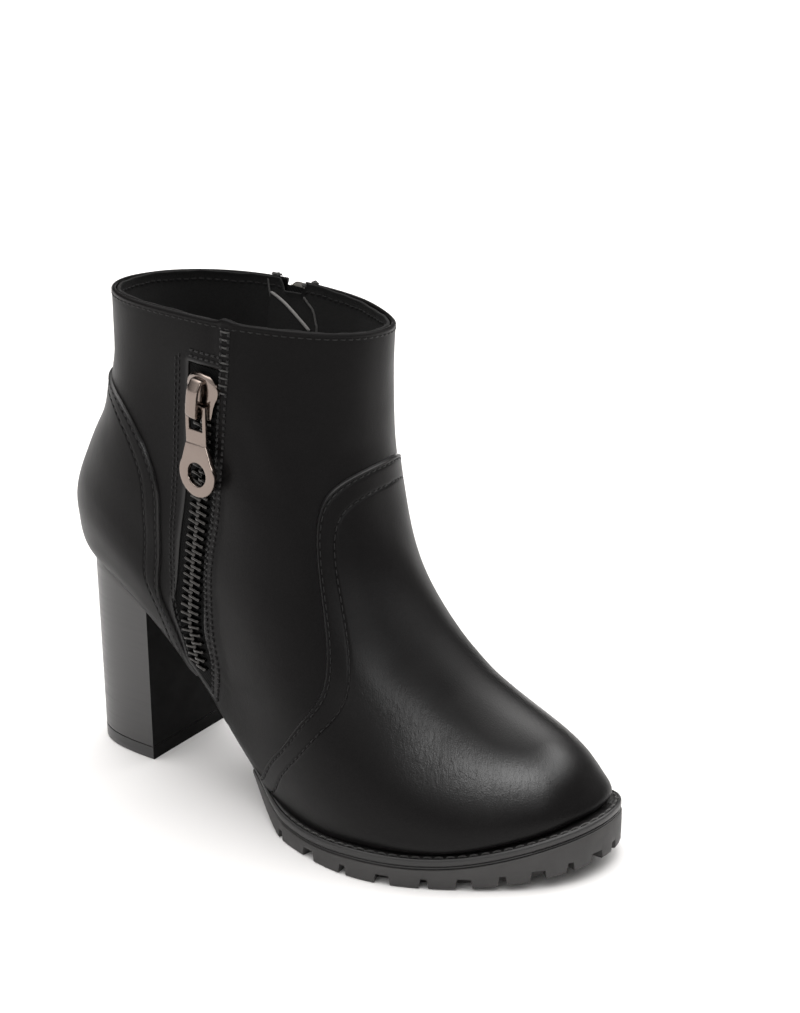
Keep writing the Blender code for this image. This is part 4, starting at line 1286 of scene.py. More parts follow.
# Guard behind the entry zip, and seams of the lining, on the inside as angle and ring
GUARD_LOW_RING = 6.2
GUARD_DEPTH = -3.0
GUARD_THICKNESS = 0.6
GUARD_SWELL = 0.9
GUARD_COLUMNS = 40
GUARD_ROWS = 24
GUARD_EDGE_DEPTH = 0.35
GUARD_EDGE_RADIUS = 0.62
GUARD_EDGE_LINE = np.array([
    (4.255, 9.655), (4.35, 9.57), (4.44, 9.47), (4.53, 9.345), (4.60, 9.235), (4.645, 9.15),
])
SEAM_RISE = 0.1
SEAM_RADIUS = 0.4
SEAM_FLATNESS = 0.8
SEAM_STEPS = 60
LINING_SEAMS = (
    np.array([(4.212, 9.93), (4.235, 9.7), (4.28, 9.4), (4.335, 8.95), (4.40, 7.6), (4.43, 6.4)]),
    np.array([(4.55, 9.72), (4.60, 9.62), (4.655, 9.5), (4.69, 9.3), (4.70, 9.1), (4.70, 8.0), (4.70, 6.6)]),
)
# Loose ends of the entry zip's tape at the collar: angle, ring, depth, and length, height and width
TAPE_ENDS = (
    (4.275, 10.03, -1.6, 4.6, 1.5, 1.3),
    (4.62, 10.02, -1.7, 3.0, 1.6, 1.4),
    (4.53, 9.93, -2.2, 2.2, 1.8, 1.2),
)
TAPE_END_RING = 9.9
TAPE_END_PHASE = 1.7
# Unevenness of the frayed ends: height, wave numbers along the three axes and share of the phase
LUMP_WAVES = (
    (0.16, (7, 0, 0), 1),
    (0.14, (0, 9, 0), 2),
    (0.12, (3, 0, 11), 0),
    (0.10, (23, 19, 17), 0),
)


def lump(bundle, centre, directions, sizes, phase):
    """A small uneven lump of frayed cloth."""
    work = bmesh.new()
    bmesh.ops.create_icosphere(work, subdivisions=3, radius=1.0)
    for point in work.verts:
        size = 1.0
        for height, numbers, share in LUMP_WAVES:
            size += height * np.sin(np.dot(numbers, point.co) + share * phase)
        point.co *= size
    points, faces = points_and_faces(work)
    bundle.add(centre + (np.array(points) * (np.array(sizes) / 2)) @ directions.T, faces)


def make_guard():
    """A flap of lining behind the entry zip, cut to a slant at its top and bound with a pale edge."""
    edge_angles, edge_rings = resampled(GUARD_EDGE_LINE, GUARD_COLUMNS).T
    up = np.linspace(0, 1, GUARD_ROWS)[:, None]
    rings = GUARD_LOW_RING + (edge_rings - GUARD_LOW_RING) * up
    angles = np.broadcast_to(edge_angles, rings.shape)
    swell = GUARD_SWELL * np.sin(np.pi * np.linspace(0, 1, GUARD_COLUMNS)) * up
    outer = layer(angles, rings, GUARD_DEPTH - swell)
    inner = layer(angles, rings, GUARD_DEPTH - GUARD_THICKNESS - swell)
    points, faces, _ = sheet(outer, inner)
    add_piece("zip_guard", points, faces, LINING, "board")
    binding = Bundle()
    points = layer(edge_angles, edge_rings, GUARD_DEPTH - GUARD_EDGE_DEPTH - swell[-1])
    cord_along(binding, points, -outward(edge_angles, edge_rings), GUARD_EDGE_RADIUS)
    binding.piece("zip_guard_edge", GUARD_EDGE, "board")


def make_lining_seams():
    seams = Bundle()
    for places in LINING_SEAMS:
        points, normals = inner_row(places, GUARD_DEPTH + SEAM_RISE, SEAM_STEPS)
        cord_along(seams, points, normals, SEAM_RADIUS, flat=SEAM_FLATNESS)
    seams.piece("lining_seams", SEAM, "board")


def make_tape_ends():
    ends = Bundle()
    for number, (angle, ring, depth, *sizes) in enumerate(TAPE_ENDS):
        place = (np.array(angle), np.array(TAPE_END_RING))
        along = unit(skin_slopes(*place)[0])
        out = outward(*place)
        directions = np.stack([along, np.cross(out, along), out], axis=1)
        lump(ends, skin(angle, ring) + depth * out, directions, sizes, TAPE_END_PHASE * number)
    ends.piece("zip_tape_ends", SEAM, "zip_cloth")


# Zip tapes and chains
TAPE_DEPTH = 0.8
TAPE_THICKNESS = 0.45
TAPE_MARGIN = 0.5
TAPE_SAG = 0.12
TAPE_ROWS = 90
TAPE_COLUMNS = 15


def make_tape(name, line, first, last, slot):
    rings = line.rings_at(first, last, np.linspace(GAP, line.length(first, last) - GAP, TAPE_ROWS))
    aside = np.linspace(slot[1] + TAPE_MARGIN, slot[0] - TAPE_MARGIN, TAPE_COLUMNS)
    angles = np.array([line.beside(rings, distance) for distance in aside]).T
    grid = np.broadcast_to(rings[:, None], angles.shape)
    outer = layer(angles, grid, -TAPE_DEPTH + TAPE_SAG * np.cos(aside / slot[1] * np.pi))
    points, faces, _ = sheet(outer, layer(angles, grid, -TAPE_DEPTH - TAPE_THICKNESS))
    add_piece(name + "_cloth", points, faces, TAPE, "zip_cloth", replaces=(name,))


def zip_frames(line, rings, height):
    """Centre and directions (across, along, out) of the chain at rings of a zip's line."""
    centre = layer(line.angle(rings), rings, height)
    ahead = layer(line.angle(rings + RING_STEP), rings + RING_STEP, height)
    out = outward(line.angle(rings), rings)
    along = unit(ahead - centre)
    along = unit(along - (along * out).sum(axis=-1, keepdims=True) * out)
    return centre, np.cross(along, out) * line.turn, along, out


TOOTH_PITCH = 3.3
# Clearances of the first and last tooth from the window's ends
CHAIN_CLEAR = (6.0, 5.0)
# Half outline of a tooth, as distance from the chain's middle and half length along it
TOOTH_HALF = (
    (-0.95, 0.40), (-0.75, 0.75), (-0.2, 0.88), (0.5, 0.65),
    (1.2, 0.52), (3.2, 0.56), (4.2, 0.62), (4.5, 0.45),
)
# Heights of a tooth's levels with their sizes, and how much of the size acts across and along the chain
TOOTH_LEVELS = ((-0.75, 1.0), (0.55, 1.0), (0.85, 0.86), (1.0, 0.62))
TOOTH_TAPER = np.array([0.35, 1.0])
COIL_CLEAR = 0.2
COIL_PITCH = 1.3
COIL_DEPTH = -0.15
COIL_LEAN = 0.3
COIL_RISE = 0.45
COIL_SQUARENESS = 3
COIL_HALF_WIDTH = 2.1
COIL_RADIUS = 0.5
COIL_SIDES = 6
COIL_STEPS = 9


def make_teeth():
    """Single teeth, with those of the two tapes half a pitch apart so that their heads lock."""
    first, last = LATERAL_WINDOW_RINGS
    length = lateral_zip.length(first, last)
    outline = np.array([*TOOTH_HALF, *[(a, -b) for a, b in TOOTH_HALF[::-1]]])
    middle = outline.mean(axis=0)
    faces = tube_faces(len(TOOTH_LEVELS), len(outline))
    bundle = Bundle()
    start, end = CHAIN_CLEAR
    for side, shift in ((1, 0.0), (-1, TOOTH_PITCH / 2)):
        distances = np.arange(start + shift, length - end, TOOTH_PITCH)
        rings = lateral_zip.rings_at(first, last, distances)
        for centre, across, along, out in zip(*zip_frames(lateral_zip, rings, 0.0)):
            points = []
            for height, share in TOOTH_LEVELS:
                inset = middle + (outline - middle) * (1 - (1 - share) * TOOTH_TAPER)
                points += [centre + side * a * across + b * along + height * out for a, b in inset]
            bundle.add(points, faces)
    bundle.piece("zip_teeth_metal", BLACK_METAL, "black_metal", replaces=("zip_teeth_lateral",), sharp=55)


def make_coil():
    """Turns of a nylon coil, each a rounded bar across the chain."""
    ends = (MEDIAL_SLIT_START_RING + COIL_CLEAR, MEDIAL_CHAIN_TOP)
    rings = medial_zip.rings_at(*ends, np.arange(0, medial_zip.length(*ends), COIL_PITCH))
    share = np.linspace(-1, 1, COIL_STEPS)[:, None]
    rise = COIL_RISE * np.sqrt(np.clip(1 - np.abs(share) ** COIL_SQUARENESS, 0, 1))
    bundle = Bundle()
    for number, (centre, across, along, out) in enumerate(zip(*zip_frames(medial_zip, rings, COIL_DEPTH))):
        lean = COIL_LEAN if number % 2 else -COIL_LEAN
        points = centre + COIL_HALF_WIDTH * share * across + rise * out + lean * share * along
        cord_along(bundle, points, np.broadcast_to(out, points.shape), COIL_RADIUS, COIL_SIDES)
    bundle.piece("zip_coil_nylon", COIL, "zip_coil", replaces=("zip_coil_medial",))


# Slider and pull, drawn with the hinge axis at the origin: across, then down the zip, then out
# Half width of the slider down its length
SLIDER_WIDTH = (
    (-12.4, 1.5), (-12.1, 3.2), (-11.2, 4.9), (-9.8, 6.3), (-8.0, 7.3), (-6.2, 7.6), (-4.6, 7.3), (-2.8, 6.4),
    (-0.5, 5.7), (2.0, 5.3), (4.2, 4.9), (5.0, 4.3), (5.3, 3.4),
)
SLIDER_THICKNESS = 1.6
# Rows near the slider's two ends, in millimetres from the end, and the even rows between them
SLIDER_TOP_STEPS = np.array([0.0, 0.25, 0.6])
SLIDER_LOW_STEPS = np.array([0.35, 0.12, 0.0])
SLIDER_CLEAR = (1.1, 0.7)
SLIDER_ROWS = 34
SLIDER_COLUMNS = 23
# How far the slider's top sinks at its sides, with the power, and at its ends, with the reach
SIDE_SINK = (1.5, 2.6)
END_SINK = (0.7, 1.1)
SLIDER_LIP = 0.15
FLANGE_DEPTH = 2.3
FLANGE_THICKNESS = 1.5
FLANGE_INSET = 0.1
FLANGE_LEAST_WIDTH = 5.3
BRIDGE_CLEAR = 2.7
BRIDGE_HALF_WIDTH = 2.6
BRIDGE_THICK = 1.0
# Middle of the bridge's strap, as distance down the zip and out from the hinge axis
BRIDGE_PATH = np.array([
    (-10.0, -1.95), (-10.0, 0.0), (-9.2, 0.85), (-7.4, 1.8), (-5.0, 2.25), (-1.5, 2.35), (1.4, 2.35),
    (2.6, 2.1), (3.2, 1.15), (3.35, 0.0), (3.35, -1.95),
])
BRIDGE_STEPS = 46
BRIDGE_SIDES = 16
# Powers that square off the bridge's section, across it and through it
BRIDGE_SQUARENESS = (0.5, 0.6)
PULL_THICKNESS = 1.5
YOKE_HALF_WIDTH = 4.9
YOKE_BAR = 1.6
YOKE_LEG = 1.5
YOKE_LENGTH = 8.0
NECK_LENGTH = 5.1
RING_CENTRE = 25.7
RING_RADIUS = 8.7
RING_HOLE_RADIUS = 4.5
RING_SHOULDER_ANGLE = 0.6
RING_STEPS = 44
HOLE_STEPS = 40
PULL_REACH = 34.0
RING_THICKNESS = 2.1
RING_BEVEL = 0.4
NECK_OVERLAP = 1.0
PLATE_BEVEL = 0.3
BEVEL_STEPS = 3
FLAT_ANGLE = 0.01
EDGE_ANGLE = 0.9


def plate(outline, holes, low, high, bevel):
    """A flat outline with holes, thickened, with rounded edges, as points and faces in millimetres."""
    work = bmesh.new()
    edges = []
    for loop in (outline, *holes):
        points = [work.verts.new((across, down, low)) for across, down in loop]
        edges += [work.edges.new((points[i - 1], points[i])) for i in range(len(points))]
    bmesh.ops.triangle_fill(work, edges=edges, use_beauty=True)
    raised = bmesh.ops.extrude_face_region(work, geom=work.faces[:])["geom"]
    lifted = [item for item in raised if isinstance(item, bmesh.types.BMVert)]
    bmesh.ops.translate(work, verts=lifted, vec=(0, 0, high - low))
    bmesh.ops.recalc_face_normals(work, faces=work.faces)
    bmesh.ops.dissolve_limit(work, angle_limit=FLAT_ANGLE, verts=work.verts, edges=work.edges)
    sharp = [edge for edge in work.edges if edge.is_manifold and edge.calc_face_angle() > EDGE_ANGLE]
    bmesh.ops.bevel(
        work, geom=sharp, offset=bevel, offset_type="OFFSET", segments=BEVEL_STEPS, profile=0.5,
        affect="EDGES", clamp_overlap=True,
    )
    bmesh.ops.triangulate(work, faces=[face for face in work.faces if len(face.verts) > 4])
    return points_and_faces(work)


def ring_arc(radius, angles):
    """Points of the pull's ring, or of its hole."""
    return [(radius * np.cos(angle), RING_CENTRE + radius * np.sin(angle)) for angle in angles]


def pull_shapes():
    """Yoke and neck of a pull as one plate, and the ring below them as a thicker one."""
    bar = YOKE_BAR / 2
    neck = bar + YOKE_LENGTH + NECK_LENGTH
    half = YOKE_HALF_WIDTH
    inside = half - YOKE_LEG
    low = neck + NECK_OVERLAP
    yoke = [(-half, -bar), (half, -bar), (half, low), (-half, low)]
    window_low = bar + YOKE_LENGTH
    window = [(-inside, bar), (inside, bar), (inside, window_low), (-inside, window_low)]
    sweep = np.linspace(-RING_SHOULDER_ANGLE, np.pi + RING_SHOULDER_ANGLE, RING_STEPS)
    drop = [(half, neck), *ring_arc(RING_RADIUS, sweep), (-half, neck)]
    hole = ring_arc(RING_HOLE_RADIUS, full_turn(HOLE_STEPS))
    return [
        plate(yoke, [window], -PULL_THICKNESS / 2, PULL_THICKNESS / 2, PLATE_BEVEL),
        plate(drop, [hole], -RING_THICKNESS / 2, RING_THICKNESS / 2, RING_BEVEL),
    ]


def squared_off(share, power):
    """A sine or cosine, flattened so that its section has rounded corners."""
    return np.sign(share) * np.abs(share) ** power


def bridge_shape():
    """The arch over the hinge, as a rounded strap."""
    fine = resampled(BRIDGE_PATH, BRIDGE_STEPS)
    slope = unit(np.gradient(fine, axis=0))
    normal = np.stack([-slope[:, 1], slope[:, 0]], axis=-1)
    turn = full_turn(BRIDGE_SIDES)
    across_power, through_power = BRIDGE_SQUARENESS
    wide = BRIDGE_HALF_WIDTH * squared_off(np.cos(turn), across_power)
    thick = BRIDGE_THICK * squared_off(np.sin(turn), through_power)
    points = []
    for (down, out), (normal_down, normal_out) in zip(fine, normal):
        points += [(w, down + t * normal_down, out + t * normal_out) for w, t in zip(wide, thick)]
    return points, tube_faces(len(fine), len(turn))


def crowned_shape():
    """The slider's top plate, which curves down to both sides."""
    down, half = np.array(SLIDER_WIDTH).T
    first, last = down[0], down[-1]
    between = np.linspace(first + SLIDER_CLEAR[0], last - SLIDER_CLEAR[1], SLIDER_ROWS)
    rows = np.concatenate([first + SLIDER_TOP_STEPS, between, last - SLIDER_LOW_STEPS])
    share = np.sin(np.linspace(-1, 1, SLIDER_COLUMNS) * np.pi / 2)
    across = np.interp(rows, down, half)[:, None] * share
    from_end = np.minimum(rows - first, last - rows)[:, None]
    side_depth, side_power = SIDE_SINK
    end_depth, end_reach = END_SINK
    sink = side_depth * np.abs(share) ** side_power + end_depth * np.clip(1 - from_end / end_reach, 0, 1) ** 2
    along = np.broadcast_to(rows[:, None], across.shape)
    top = -BRIDGE_CLEAR / 2 - sink
    low = np.minimum(-BRIDGE_CLEAR / 2 - SLIDER_THICKNESS, top - SLIDER_LIP)
    points, faces, _ = sheet(np.stack([across, along, top], axis=-1), np.stack([across, along, low], axis=-1))
    return points, faces


def flange_shapes():
    """The slider's two side walls, which wrap round the chain."""
    outside = [(width - FLANGE_INSET, down) for down, width in SLIDER_WIDTH if width > FLANGE_LEAST_WIDTH]
    inside = [(width - FLANGE_THICKNESS, down) for width, down in outside[::-1]]
    top = -BRIDGE_CLEAR / 2 - SLIDER_THICKNESS
    shapes = []
    for side in (1, -1):
        outline = [(side * across, down) for across, down in outside + inside]
        shapes.append(plate(outline, (), top - FLANGE_DEPTH, top, PLATE_BEVEL))
    return shapes


def placed(points, place, directions, scale):
    return place + scale * np.asarray(points) @ directions.T


def make_slider_and_pull(side, line, ring, chain_rise, scale, material, slot, body):
    axis_height = chain_rise + GAP + scale * (SLIDER_THICKNESS + BRIDGE_CLEAR / 2)
    place, directions = line.hang(ring, axis_height, PULL_REACH * scale)
    shapes = [crowned_shape(), bridge_shape(), *flange_shapes()]
    slider = Bundle()
    for points, faces in shapes:
        slider.add(placed(points, place, directions, scale), faces)
    slider.piece(f"zip_slider_{side}_metal", material, slot, replaces=("zip_slider_" + side,), sharp=35)
    pull = Bundle()
    for points, faces in pull_shapes():
        pull.add(placed(points, place, hanging(directions), scale), faces)
    pull.piece(f"zip_pull_{side}_metal", material, slot, body=body, replaces=("zip_pull_" + side,), sharp=35)


# Sole
WELT_MARGIN = 4.0
WAIST_MARGIN = -0.5
WELT_THICKNESS = 4.0
WAIST_THICKNESS = 1.5
WAIST_END_X = 98.0
WELT_START_X = 128.0
OUTSOLE_MARGIN = 4.3
OUTSOLE_MARGIN_RUN = (100.0, 130.0)
OUTSOLE_REAR_X = 102.0
TOE_MARGIN = 2.0
TOE_MARGIN_RUN = (185.0, 226.0)
TREAD_REAR_X = 122.0
TREAD_FRONT_X = 180.0
TOE_SPRING = 6.0
TOE_X = 233.0
REAR_EDGE = 1.2
# Distance of the first notch from the tip, on the lateral and on the medial side
LATERAL_NOTCH = 8.6
MEDIAL_NOTCH = 1.5
NOTCH_PITCH = 11.1
NOTCH_SPREAD = 0.39
NOTCHES_PER_SIDE = 10
NOTCH_REAR_X = 114.0
NOTCH_WIDTHS = (5.0, 2.3)
NOTCH_FLARE = 1.2
NOTCH_HEIGHT = 4.0
NOTCH_REACH = 12.0
NOTCH_OVERSHOOT = 5.0
SOLE_STEPS = 300
OUTSOLE_STEPS = 120
# Rounding of the outsole's edges, and the angles in degrees over which edges are rounded or drawn sharp
CUT_ROUNDING = 0.35
CUT_ANGLE = 40
SHARP_ANGLE = 35
# Stitch row on the welt: distances in front of the welt's start, inside its edge and below its top
WELT_ROW_START = 4.0
WELT_ROW_INSET = 1.9
WELT_ROW_SINK = 0.2
WELT_ROW_STEPS = 700
# Profile of the insole: how far in from the inset and how far up
INSOLE_INSET = 1.0
INSOLE_PROFILE = ((0.5, 3.0), (0.0, 2.6), (0.0, GAP))
# Profile of the welt's rim: millimetres in from its edge, and how far down as a share of its depth
WELT_PROFILE = (
    (3.6, 0.02), (2.9, 0.0), (2.2, 0.05), (1.7, 0.13), (1.25, 0.05), (0.8, 0.0), (0.35, 0.07), (0.08, 0.2),
    (0.0, 0.36), (0.0, 0.60), (0.12, 0.72), (0.5, 0.77), (0.55, 0.83), (0.2, 0.88), (0.15, 0.95), (0.5, 1.0),
)
OUTSOLE_PROFILE = ((0.6, 0.0), (0.2, 0.03), (0.0, 0.09), (0.0, 0.5), (0.0, 0.92), (0.25, 0.98), (0.7, 1.0))


def plan_frame(angles):
    """The upper's lower edge in plan, and its outward direction."""
    rings = drawn_up(angles, np.zeros_like(angles))
    tangent = skin_slopes(angles, rings)[0][:, :2]
    return skin(angles, rings)[:, :2], unit(np.stack([-tangent[:, 1], tangent[:, 0]], axis=-1))


def toe_margin(x):
    return TOE_MARGIN * ease(x, *TOE_MARGIN_RUN)


def welt_margin(x):
    return WAIST_MARGIN + (WELT_MARGIN - WAIST_MARGIN) * ease(x, WAIST_END_X, WELT_START_X) + toe_margin(x)


def welt_depth(x):
    return WAIST_THICKNESS + (WELT_THICKNESS - WAIST_THICKNESS) * ease(x, WAIST_END_X, WELT_START_X)


def welt_top(x):
    return feather_height(x) - GAP


def outsole_top(x):
    return welt_top(x) - welt_depth(x) - GAP


def outsole_bottom(x):
    toe = TOE_SPRING * np.clip((x - TREAD_FRONT_X) / (TOE_X - TREAD_FRONT_X), 0, None) ** 2
    rear = np.clip((TREAD_REAR_X - x) / (TREAD_REAR_X - OUTSOLE_REAR_X), 0, 1)
    return toe + rear * (outsole_top(x) - REAR_EDGE)


def make_welt():
    here, out = plan_frame(full_turn(SOLE_STEPS))
    margin = welt_margin(here[:, 0])
    scale = welt_depth(here[:, 0]) / WELT_THICKNESS
    loops = []
    for inset, down in WELT_PROFILE:
        plan = here + out * (margin - inset * scale)[:, None]
        loops.append(np.column_stack([plan, welt_top(plan[:, 0]) - down * welt_depth(plan[:, 0])]))
    points, faces = stacked(loops)
    add_piece("welt_rim", points, faces, WELT_RUBBER, "welt_rubber", replaces=("welt",), sharp=60)
    stitches = Bundle()
    start = angle_of(feather_station(WELT_START_X - WELT_ROW_START))
    here, out = plan_frame(np.linspace(-start, start, WELT_ROW_STEPS))
    plan = here + out * (WELT_MARGIN - WELT_ROW_INSET + toe_margin(here[:, 0]))[:, None]
    points = np.column_stack([plan, welt_top(plan[:, 0]) - WELT_ROW_SINK])
    normals = np.broadcast_to((0.0, 0.0, 1.0), points.shape)
    stitch_row(stitches, points, normals, *WELT_STITCH)
    # The welt's stitches take the paler frayed-edge colour, which is painted highlight
    stitches.piece("stitches_welt", SEAM, "zip_cloth")


def make_insole():
    """A board that fills the bottom of the boot, inside the upper's lower edge."""
    here, out = plan_frame(full_turn(SOLE_STEPS))
    loops = []
    for inset, up in INSOLE_PROFILE:
        plan = here - out * (INSOLE_INSET + inset)
        loops.append(np.column_stack([plan, feather_height(plan[:, 0]) + up]))
    points, faces = stacked(loops)
    add_piece("insole_board", points, faces, LINING, "board", replaces=("insole",))


def outsole_loop(margin, steps):
    """The outsole's outline in plan, from its tip along the lateral side and back along the medial side."""
    lateral = np.linspace(0, angle_of(feather_station(OUTSOLE_REAR_X)), steps + 1)
    here, out = plan_frame(np.concatenate([lateral, FULL_TURN - lateral[:0:-1]]))
    return here + out * (margin * ease(here[:, 0], *OUTSOLE_MARGIN_RUN) + toe_margin(here[:, 0]))[:, None]


def notch(middle, tangent, width):
    """A tapered block that cuts one notch, wider at the tread than above it."""
    across = np.array([-tangent[1], tangent[0]])
    floor = float(outsole_bottom(middle[0]))
    levels = ((floor - NOTCH_HEIGHT, width / 2 + NOTCH_FLARE), (floor + NOTCH_HEIGHT, width / 2))
    points = []
    for height, half in levels:
        for reach in (-NOTCH_REACH, NOTCH_OVERSHOOT):
            for along in (-half, half):
                points.append((*(middle + across * reach + tangent * along), height))
    return points, [(0, 1, 3, 2), (4, 6, 7, 5), (0, 4, 5, 1), (2, 3, 7, 6), (0, 2, 6, 4), (1, 5, 7, 3)]


def notch_blocks():
    """Blocks that cut the notches, wide and narrow ones in turn along the outsole's edge."""
    fine = outsole_loop(OUTSOLE_MARGIN, 2 * OUTSOLE_STEPS)
    rear = len(fine) // 2
    path = np.concatenate([fine[rear::-1], fine[:rear:-1]])
    run = run_lengths(path)
    sides = ((-1, LATERAL_NOTCH, NOTCH_WIDTHS), (1, MEDIAL_NOTCH, NOTCH_WIDTHS[::-1]))
    blocks = Bundle()
    for side, first, widths in sides:
        for number in range(NOTCHES_PER_SIDE):
            distance = run[rear] + side * (first + NOTCH_PITCH * number + NOTCH_SPREAD * number**2)
            middle = at_distances(distance, run, path)
            if middle[0] > NOTCH_REAR_X:
                tangent = unit(at_distances(distance + 1, run, path) - middle)
                blocks.add(*notch(middle, tangent, widths[number % 2]))
    mesh = bpy.data.meshes.new("notches")
    mesh.from_pydata(to_frame(blocks.points).tolist(), [], blocks.faces)
    turn_outward(mesh, join_points=False)
    return add_object("notches", mesh)


def make_outsole():
    loops = []
    for inset, down in OUTSOLE_PROFILE:
        plan = outsole_loop(OUTSOLE_MARGIN - inset, OUTSOLE_STEPS)
        top = outsole_top(plan[:, 0])
        loops.append(np.column_stack([plan, top - down * (top - outsole_bottom(plan[:, 0]))]))
    points, faces = stacked(loops)
    outsole = add_piece(
        "outsole_rubber", points, faces, SOLE_RUBBER, "sole_rubber", replaces=("outsole",), sharp=SHARP_ANGLE
    )
    tool = notch_blocks()
    cut = outsole.modifiers.new("notches", "BOOLEAN")
    cut.object = tool
    cut.operation = "DIFFERENCE"
    cut.solver = "EXACT"
    soften = outsole.modifiers.new("soften", "BEVEL")
    soften.width = CUT_ROUNDING * MM
    soften.segments = 2
    soften.limit_method = "ANGLE"
    soften.angle_limit = np.radians(CUT_ANGLE)
    shaped = bpy.data.meshes.new_from_object(outsole.evaluated_get(bpy.context.evaluated_depsgraph_get()))
    outsole.modifiers.clear()
    outsole.data = shaped
    shaped.shade_smooth()
    shaped.set_sharp_from_angle(angle=np.radians(SHARP_ANGLE))
    bpy.data.objects.remove(tool)


# Heel
HEEL_BREAST_X = 44.2
HEEL_BACK_X = 9.4
HEEL_HALF_WIDTH = 22.2
HEEL_TOP_GROWTH = 0.7
HEEL_RIM_BEVEL = 0.12
HEEL_SEAT_INSET = 1.6
HEEL_FOOT_BEVEL = 0.16
HEEL_ROUNDNESS = 3.0
HEEL_STEPS = 40
HEEL_SHARP_ANGLE = 50
# Shares of the heel's height at which its loops lie, close together at both ends
HEEL_SHARES = np.concatenate([np.linspace(0.992, 0.015, 27), [0.004, 0.0]])
TOP_PIECE_THICKNESS = 5.5
LIFT_GAP = 0.15
# Profile of the lift under the heel: how far in from its outline and how high
LIFT_PROFILE = ((0.16, 5.35), (0.03, 5.25), (0.0, 5.1), (0.0, 2.5), (0.0, 0.5), (0.4, 0.0))
# Part of the counter over which the heel's seat is found, and how far the seat reaches into the counter
SEAT_HALF_ANGLE = 1.7
SEAT_TOP_RING = 1.6
SEAT_GRID = (420, 90)
SEAT_OVERLAP = 0.25
SEAT_BLEND = 0.9
BREAST_FACING = 0.9


def heel_loop(growth):
    """The heel's outline in plan, from the middle of its back round to the breast's corners."""
    turn = np.linspace(np.pi / 2, 0, HEEL_STEPS)
    power = 2 / HEEL_ROUNDNESS
    depth = HEEL_BREAST_X - HEEL_BACK_X + growth
    x = HEEL_BREAST_X - depth * np.sin(turn) ** power
    y = (HEEL_HALF_WIDTH + growth) * np.clip(np.cos(turn), 0, 1) ** power
    y[0] = 0
    lateral = np.column_stack([x, -y])
    medial = np.column_stack([x, y])
    return np.concatenate([lateral, medial[:0:-1]])


def seat_rim(plan):
    """Heights of the heel's rim, which cups the counter where it stands outside it, and of its seat."""
    columns, rows = SEAT_GRID
    round_back = np.linspace(np.pi - SEAT_HALF_ANGLE, np.pi + SEAT_HALF_ANGLE, columns)
    angles, rings = np.meshgrid(round_back, np.linspace(0, SEAT_TOP_RING, rows))
    grid = layer(angles, drawn_up(angles, rings), PANEL_HEIGHT - SEAT_OVERLAP)
    seat = welt_top(plan[:, 0]) - welt_depth(plan[:, 0]) - GAP
    rim = []
    for place, low in zip(plan, seat):
        away = np.linalg.norm(grid[..., :2] - place, axis=-1)
        nearest = np.unravel_index(away.argmin(), angles.shape)
        level = grid[nearest][2]
        if nearest[0] == 0:
            level = low + (level - low) * (1 - ease(away[nearest], 0, SEAT_BLEND))
        rim.append(max(low, level))
    return np.array(rim), seat


def paint_breast_shade(piece):
    """Gives the flat front of the heel a matt finish, whose darker colour is painted shade."""
    piece.data.materials.append(SHADED_MATT_BREAST)
    for face in piece.data.polygons:
        face.material_index = int(face.normal.x > BREAST_FACING)


def make_heel():
    rim_plan = heel_loop(HEEL_TOP_GROWTH - HEEL_RIM_BEVEL)
    rim, seat = seat_rim(rim_plan)
    bottom = TOP_PIECE_THICKNESS + LIFT_GAP
    loops = [
        np.column_stack([heel_loop(HEEL_TOP_GROWTH - HEEL_SEAT_INSET), seat]),
        np.column_stack([rim_plan, rim]),
    ]
    for share in HEEL_SHARES:
        inset = HEEL_FOOT_BEVEL if share == 0 else 0.0
        plan = heel_loop(HEEL_TOP_GROWTH * share - inset)
        loops.append(np.column_stack([plan, bottom + (rim - bottom) * share]))
    points, faces = stacked(loops)
    heel = add_piece(
        "heel_block", points, faces, HEEL_STACK, "heel_wrap", replaces=("heel",), sharp=HEEL_SHARP_ANGLE
    )
    # The breast's darker colour is painted shade
    paint_breast_shade(heel)


def make_lift():
    loops = []
    for inset, height in LIFT_PROFILE:
        plan = heel_loop(-inset)
        loops.append(np.column_stack([plan, np.full(len(plan), height)]))
    points, faces = stacked(loops)
    lift = add_piece(
        "heel_lift", points, faces, HEEL_LIFT, "sole_rubber", replaces=("heel_top_piece",),
        sharp=HEEL_SHARP_ANGLE,
    )
    # The breast's darker colour is painted shade
    paint_breast_shade(lift)


# Studio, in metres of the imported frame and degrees, with the camera fitted to the photo
CAMERA_AZIMUTH = 34.9
CAMERA_ELEVATION = 22.18
CAMERA_DISTANCE = 0.84475
CAMERA_TARGET = Vector((0.03243, -0.00196, 0.12567))
CAMERA_LENS = 83.09
CAMERA_SENSOR = 36.0
CAMERA_FAR = 50.0


def make_camera():
    azimuth = np.radians(CAMERA_AZIMUTH)
    elevation = np.radians(CAMERA_ELEVATION)
    level = np.cos(elevation)
    back = Vector((np.sin(azimuth) * level, -np.cos(azimuth) * level, np.sin(elevation)))
    data = bpy.data.cameras.new("camera")
    data.lens = CAMERA_LENS
    data.sensor_width = CAMERA_SENSOR
    data.clip_end = CAMERA_FAR
    camera = add_object("camera", data)
    camera.location = CAMERA_TARGET + back * CAMERA_DISTANCE
    camera.rotation_euler = back.to_track_quat("Z", "Y").to_euler()
    bpy.context.scene.camera = camera


def area_light(name, place, size, power):
    """A soft box that shows in reflections only."""
    data = bpy.data.lights.new(name, "AREA")
    data.shape = "RECTANGLE"
    data.size, data.size_y = size
    data.energy = power
    light = add_object(name, data)
    light.location = place
    light.visible_diffuse = False
    light.rotation_euler = (Vector(place) - LIGHT_AIM).to_track_quat("Z", "Y").to_euler()


# Sky lobes: direction, sharpness and strength
SKY_LOBES = (
    ((-0.10, 0.10, 0.98), 5.0, 5.2),
    ((0.30, 0.72, 0.60), 30.0, 4.0),
    ((-0.20, -0.93, 0.30), 4.0, 1.20),
)
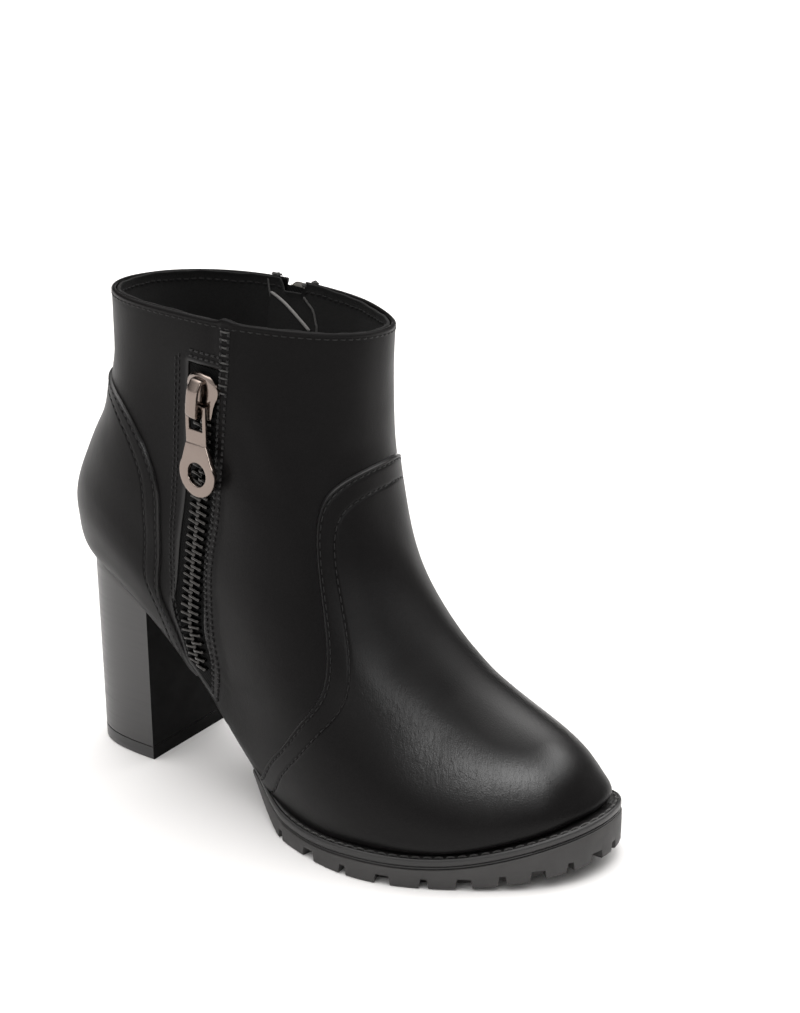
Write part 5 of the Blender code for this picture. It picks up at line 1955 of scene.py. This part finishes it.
# Soft boxes: name, place, size and power
SOFT_BOXES = (
    ("front", (0.95, -0.52, 0.68), (1.10, 0.28), 7.0),
    ("right", (0.96, 0.525, 0.70), (0.95, 0.28), 3.6),
)
LIGHT_AIM = Vector((0.05, 0.0, 0.08))
SKY_COLOUR = (1.0, 0.985, 0.975, 1)
PAPER_COLOUR = (0.93, 0.925, 0.92)
PAPER_ROUGHNESS = 0.7
FLOOR_HALF = 12


def make_floor():
    corners = [(-1, -1), (1, -1), (1, 1), (-1, 1)]
    mesh = bpy.data.meshes.new("floor")
    mesh.from_pydata([(FLOOR_HALF * x, FLOOR_HALF * y, 0) for x, y in corners], [], [(0, 1, 2, 3)])
    floor = add_object("floor", mesh)
    paper = Shader("white_paper", PAPER_COLOUR, PAPER_ROUGHNESS)
    paper.bump(paper.noise(scale=600, detail=3), depth=0.05, strength=0.2)
    mesh.materials.append(paper.material)


def make_sky():
    world = bpy.data.worlds.new("studio")
    bpy.context.scene.world = world
    world.use_nodes = True
    sky = Nodes(world.node_tree)
    place = sky.node("ShaderNodeTexCoord").outputs["Generated"]
    total = 0.0
    for direction, sharpness, strength in SKY_LOBES:
        toward = sky.node("ShaderNodeVectorMath", operation="DOT_PRODUCT")
        toward.inputs[1].default_value = Vector(direction).normalized()
        sky.link(place, toward.inputs[0])
        lobe = sky.math("POWER", sky.math("MAXIMUM", toward.outputs["Value"], 0.0), sharpness)
        total = sky.math("ADD", total, sky.math("MULTIPLY", lobe, strength))
    background = sky.tree.nodes["Background"]
    background.inputs["Color"].default_value = SKY_COLOUR
    sky.link(total, background.inputs["Strength"])


def make_studio():
    bpy.context.scene.view_settings.view_transform = "Standard"
    bpy.context.scene.view_settings.look = "None"
    make_floor()
    make_sky()
    for name, place, size, power in SOFT_BOXES:
        area_light(name, place, size, power)


def main():
    make_camera()
    make_upper()
    vamp_paths = make_vamp()
    counter_paths = make_counter()
    stitch_panels(vamp_paths, counter_paths)
    stitch_collar()
    stitch_bars()
    stitch_zips()
    make_lining()
    make_guard()
    make_lining_seams()
    make_tape_ends()
    make_tape("zip_tape_lateral", lateral_zip, *LATERAL_WINDOW_RINGS, LATERAL_SLOT)
    make_tape("zip_tape_medial", medial_zip, MEDIAL_SLIT_START_RING, MEDIAL_TAPE_TOP, MEDIAL_SLOT)
    make_teeth()
    make_coil()
    make_slider_and_pull(
        "lateral", lateral_zip, LATERAL_SLIDER_RING, LATERAL_CHAIN_RISE, 1.0, GUNMETAL,
        "gunmetal", "lateral_pull",
    )
    make_slider_and_pull(
        "medial", medial_zip, MEDIAL_SLIDER_RING, MEDIAL_CHAIN_RISE, MEDIAL_ZIP_SCALE, POLISHED_NICKEL,
        "black_metal", "medial_pull",
    )
    make_welt()
    make_outsole()
    make_heel()
    make_lift()
    make_insole()
    make_studio()


main()
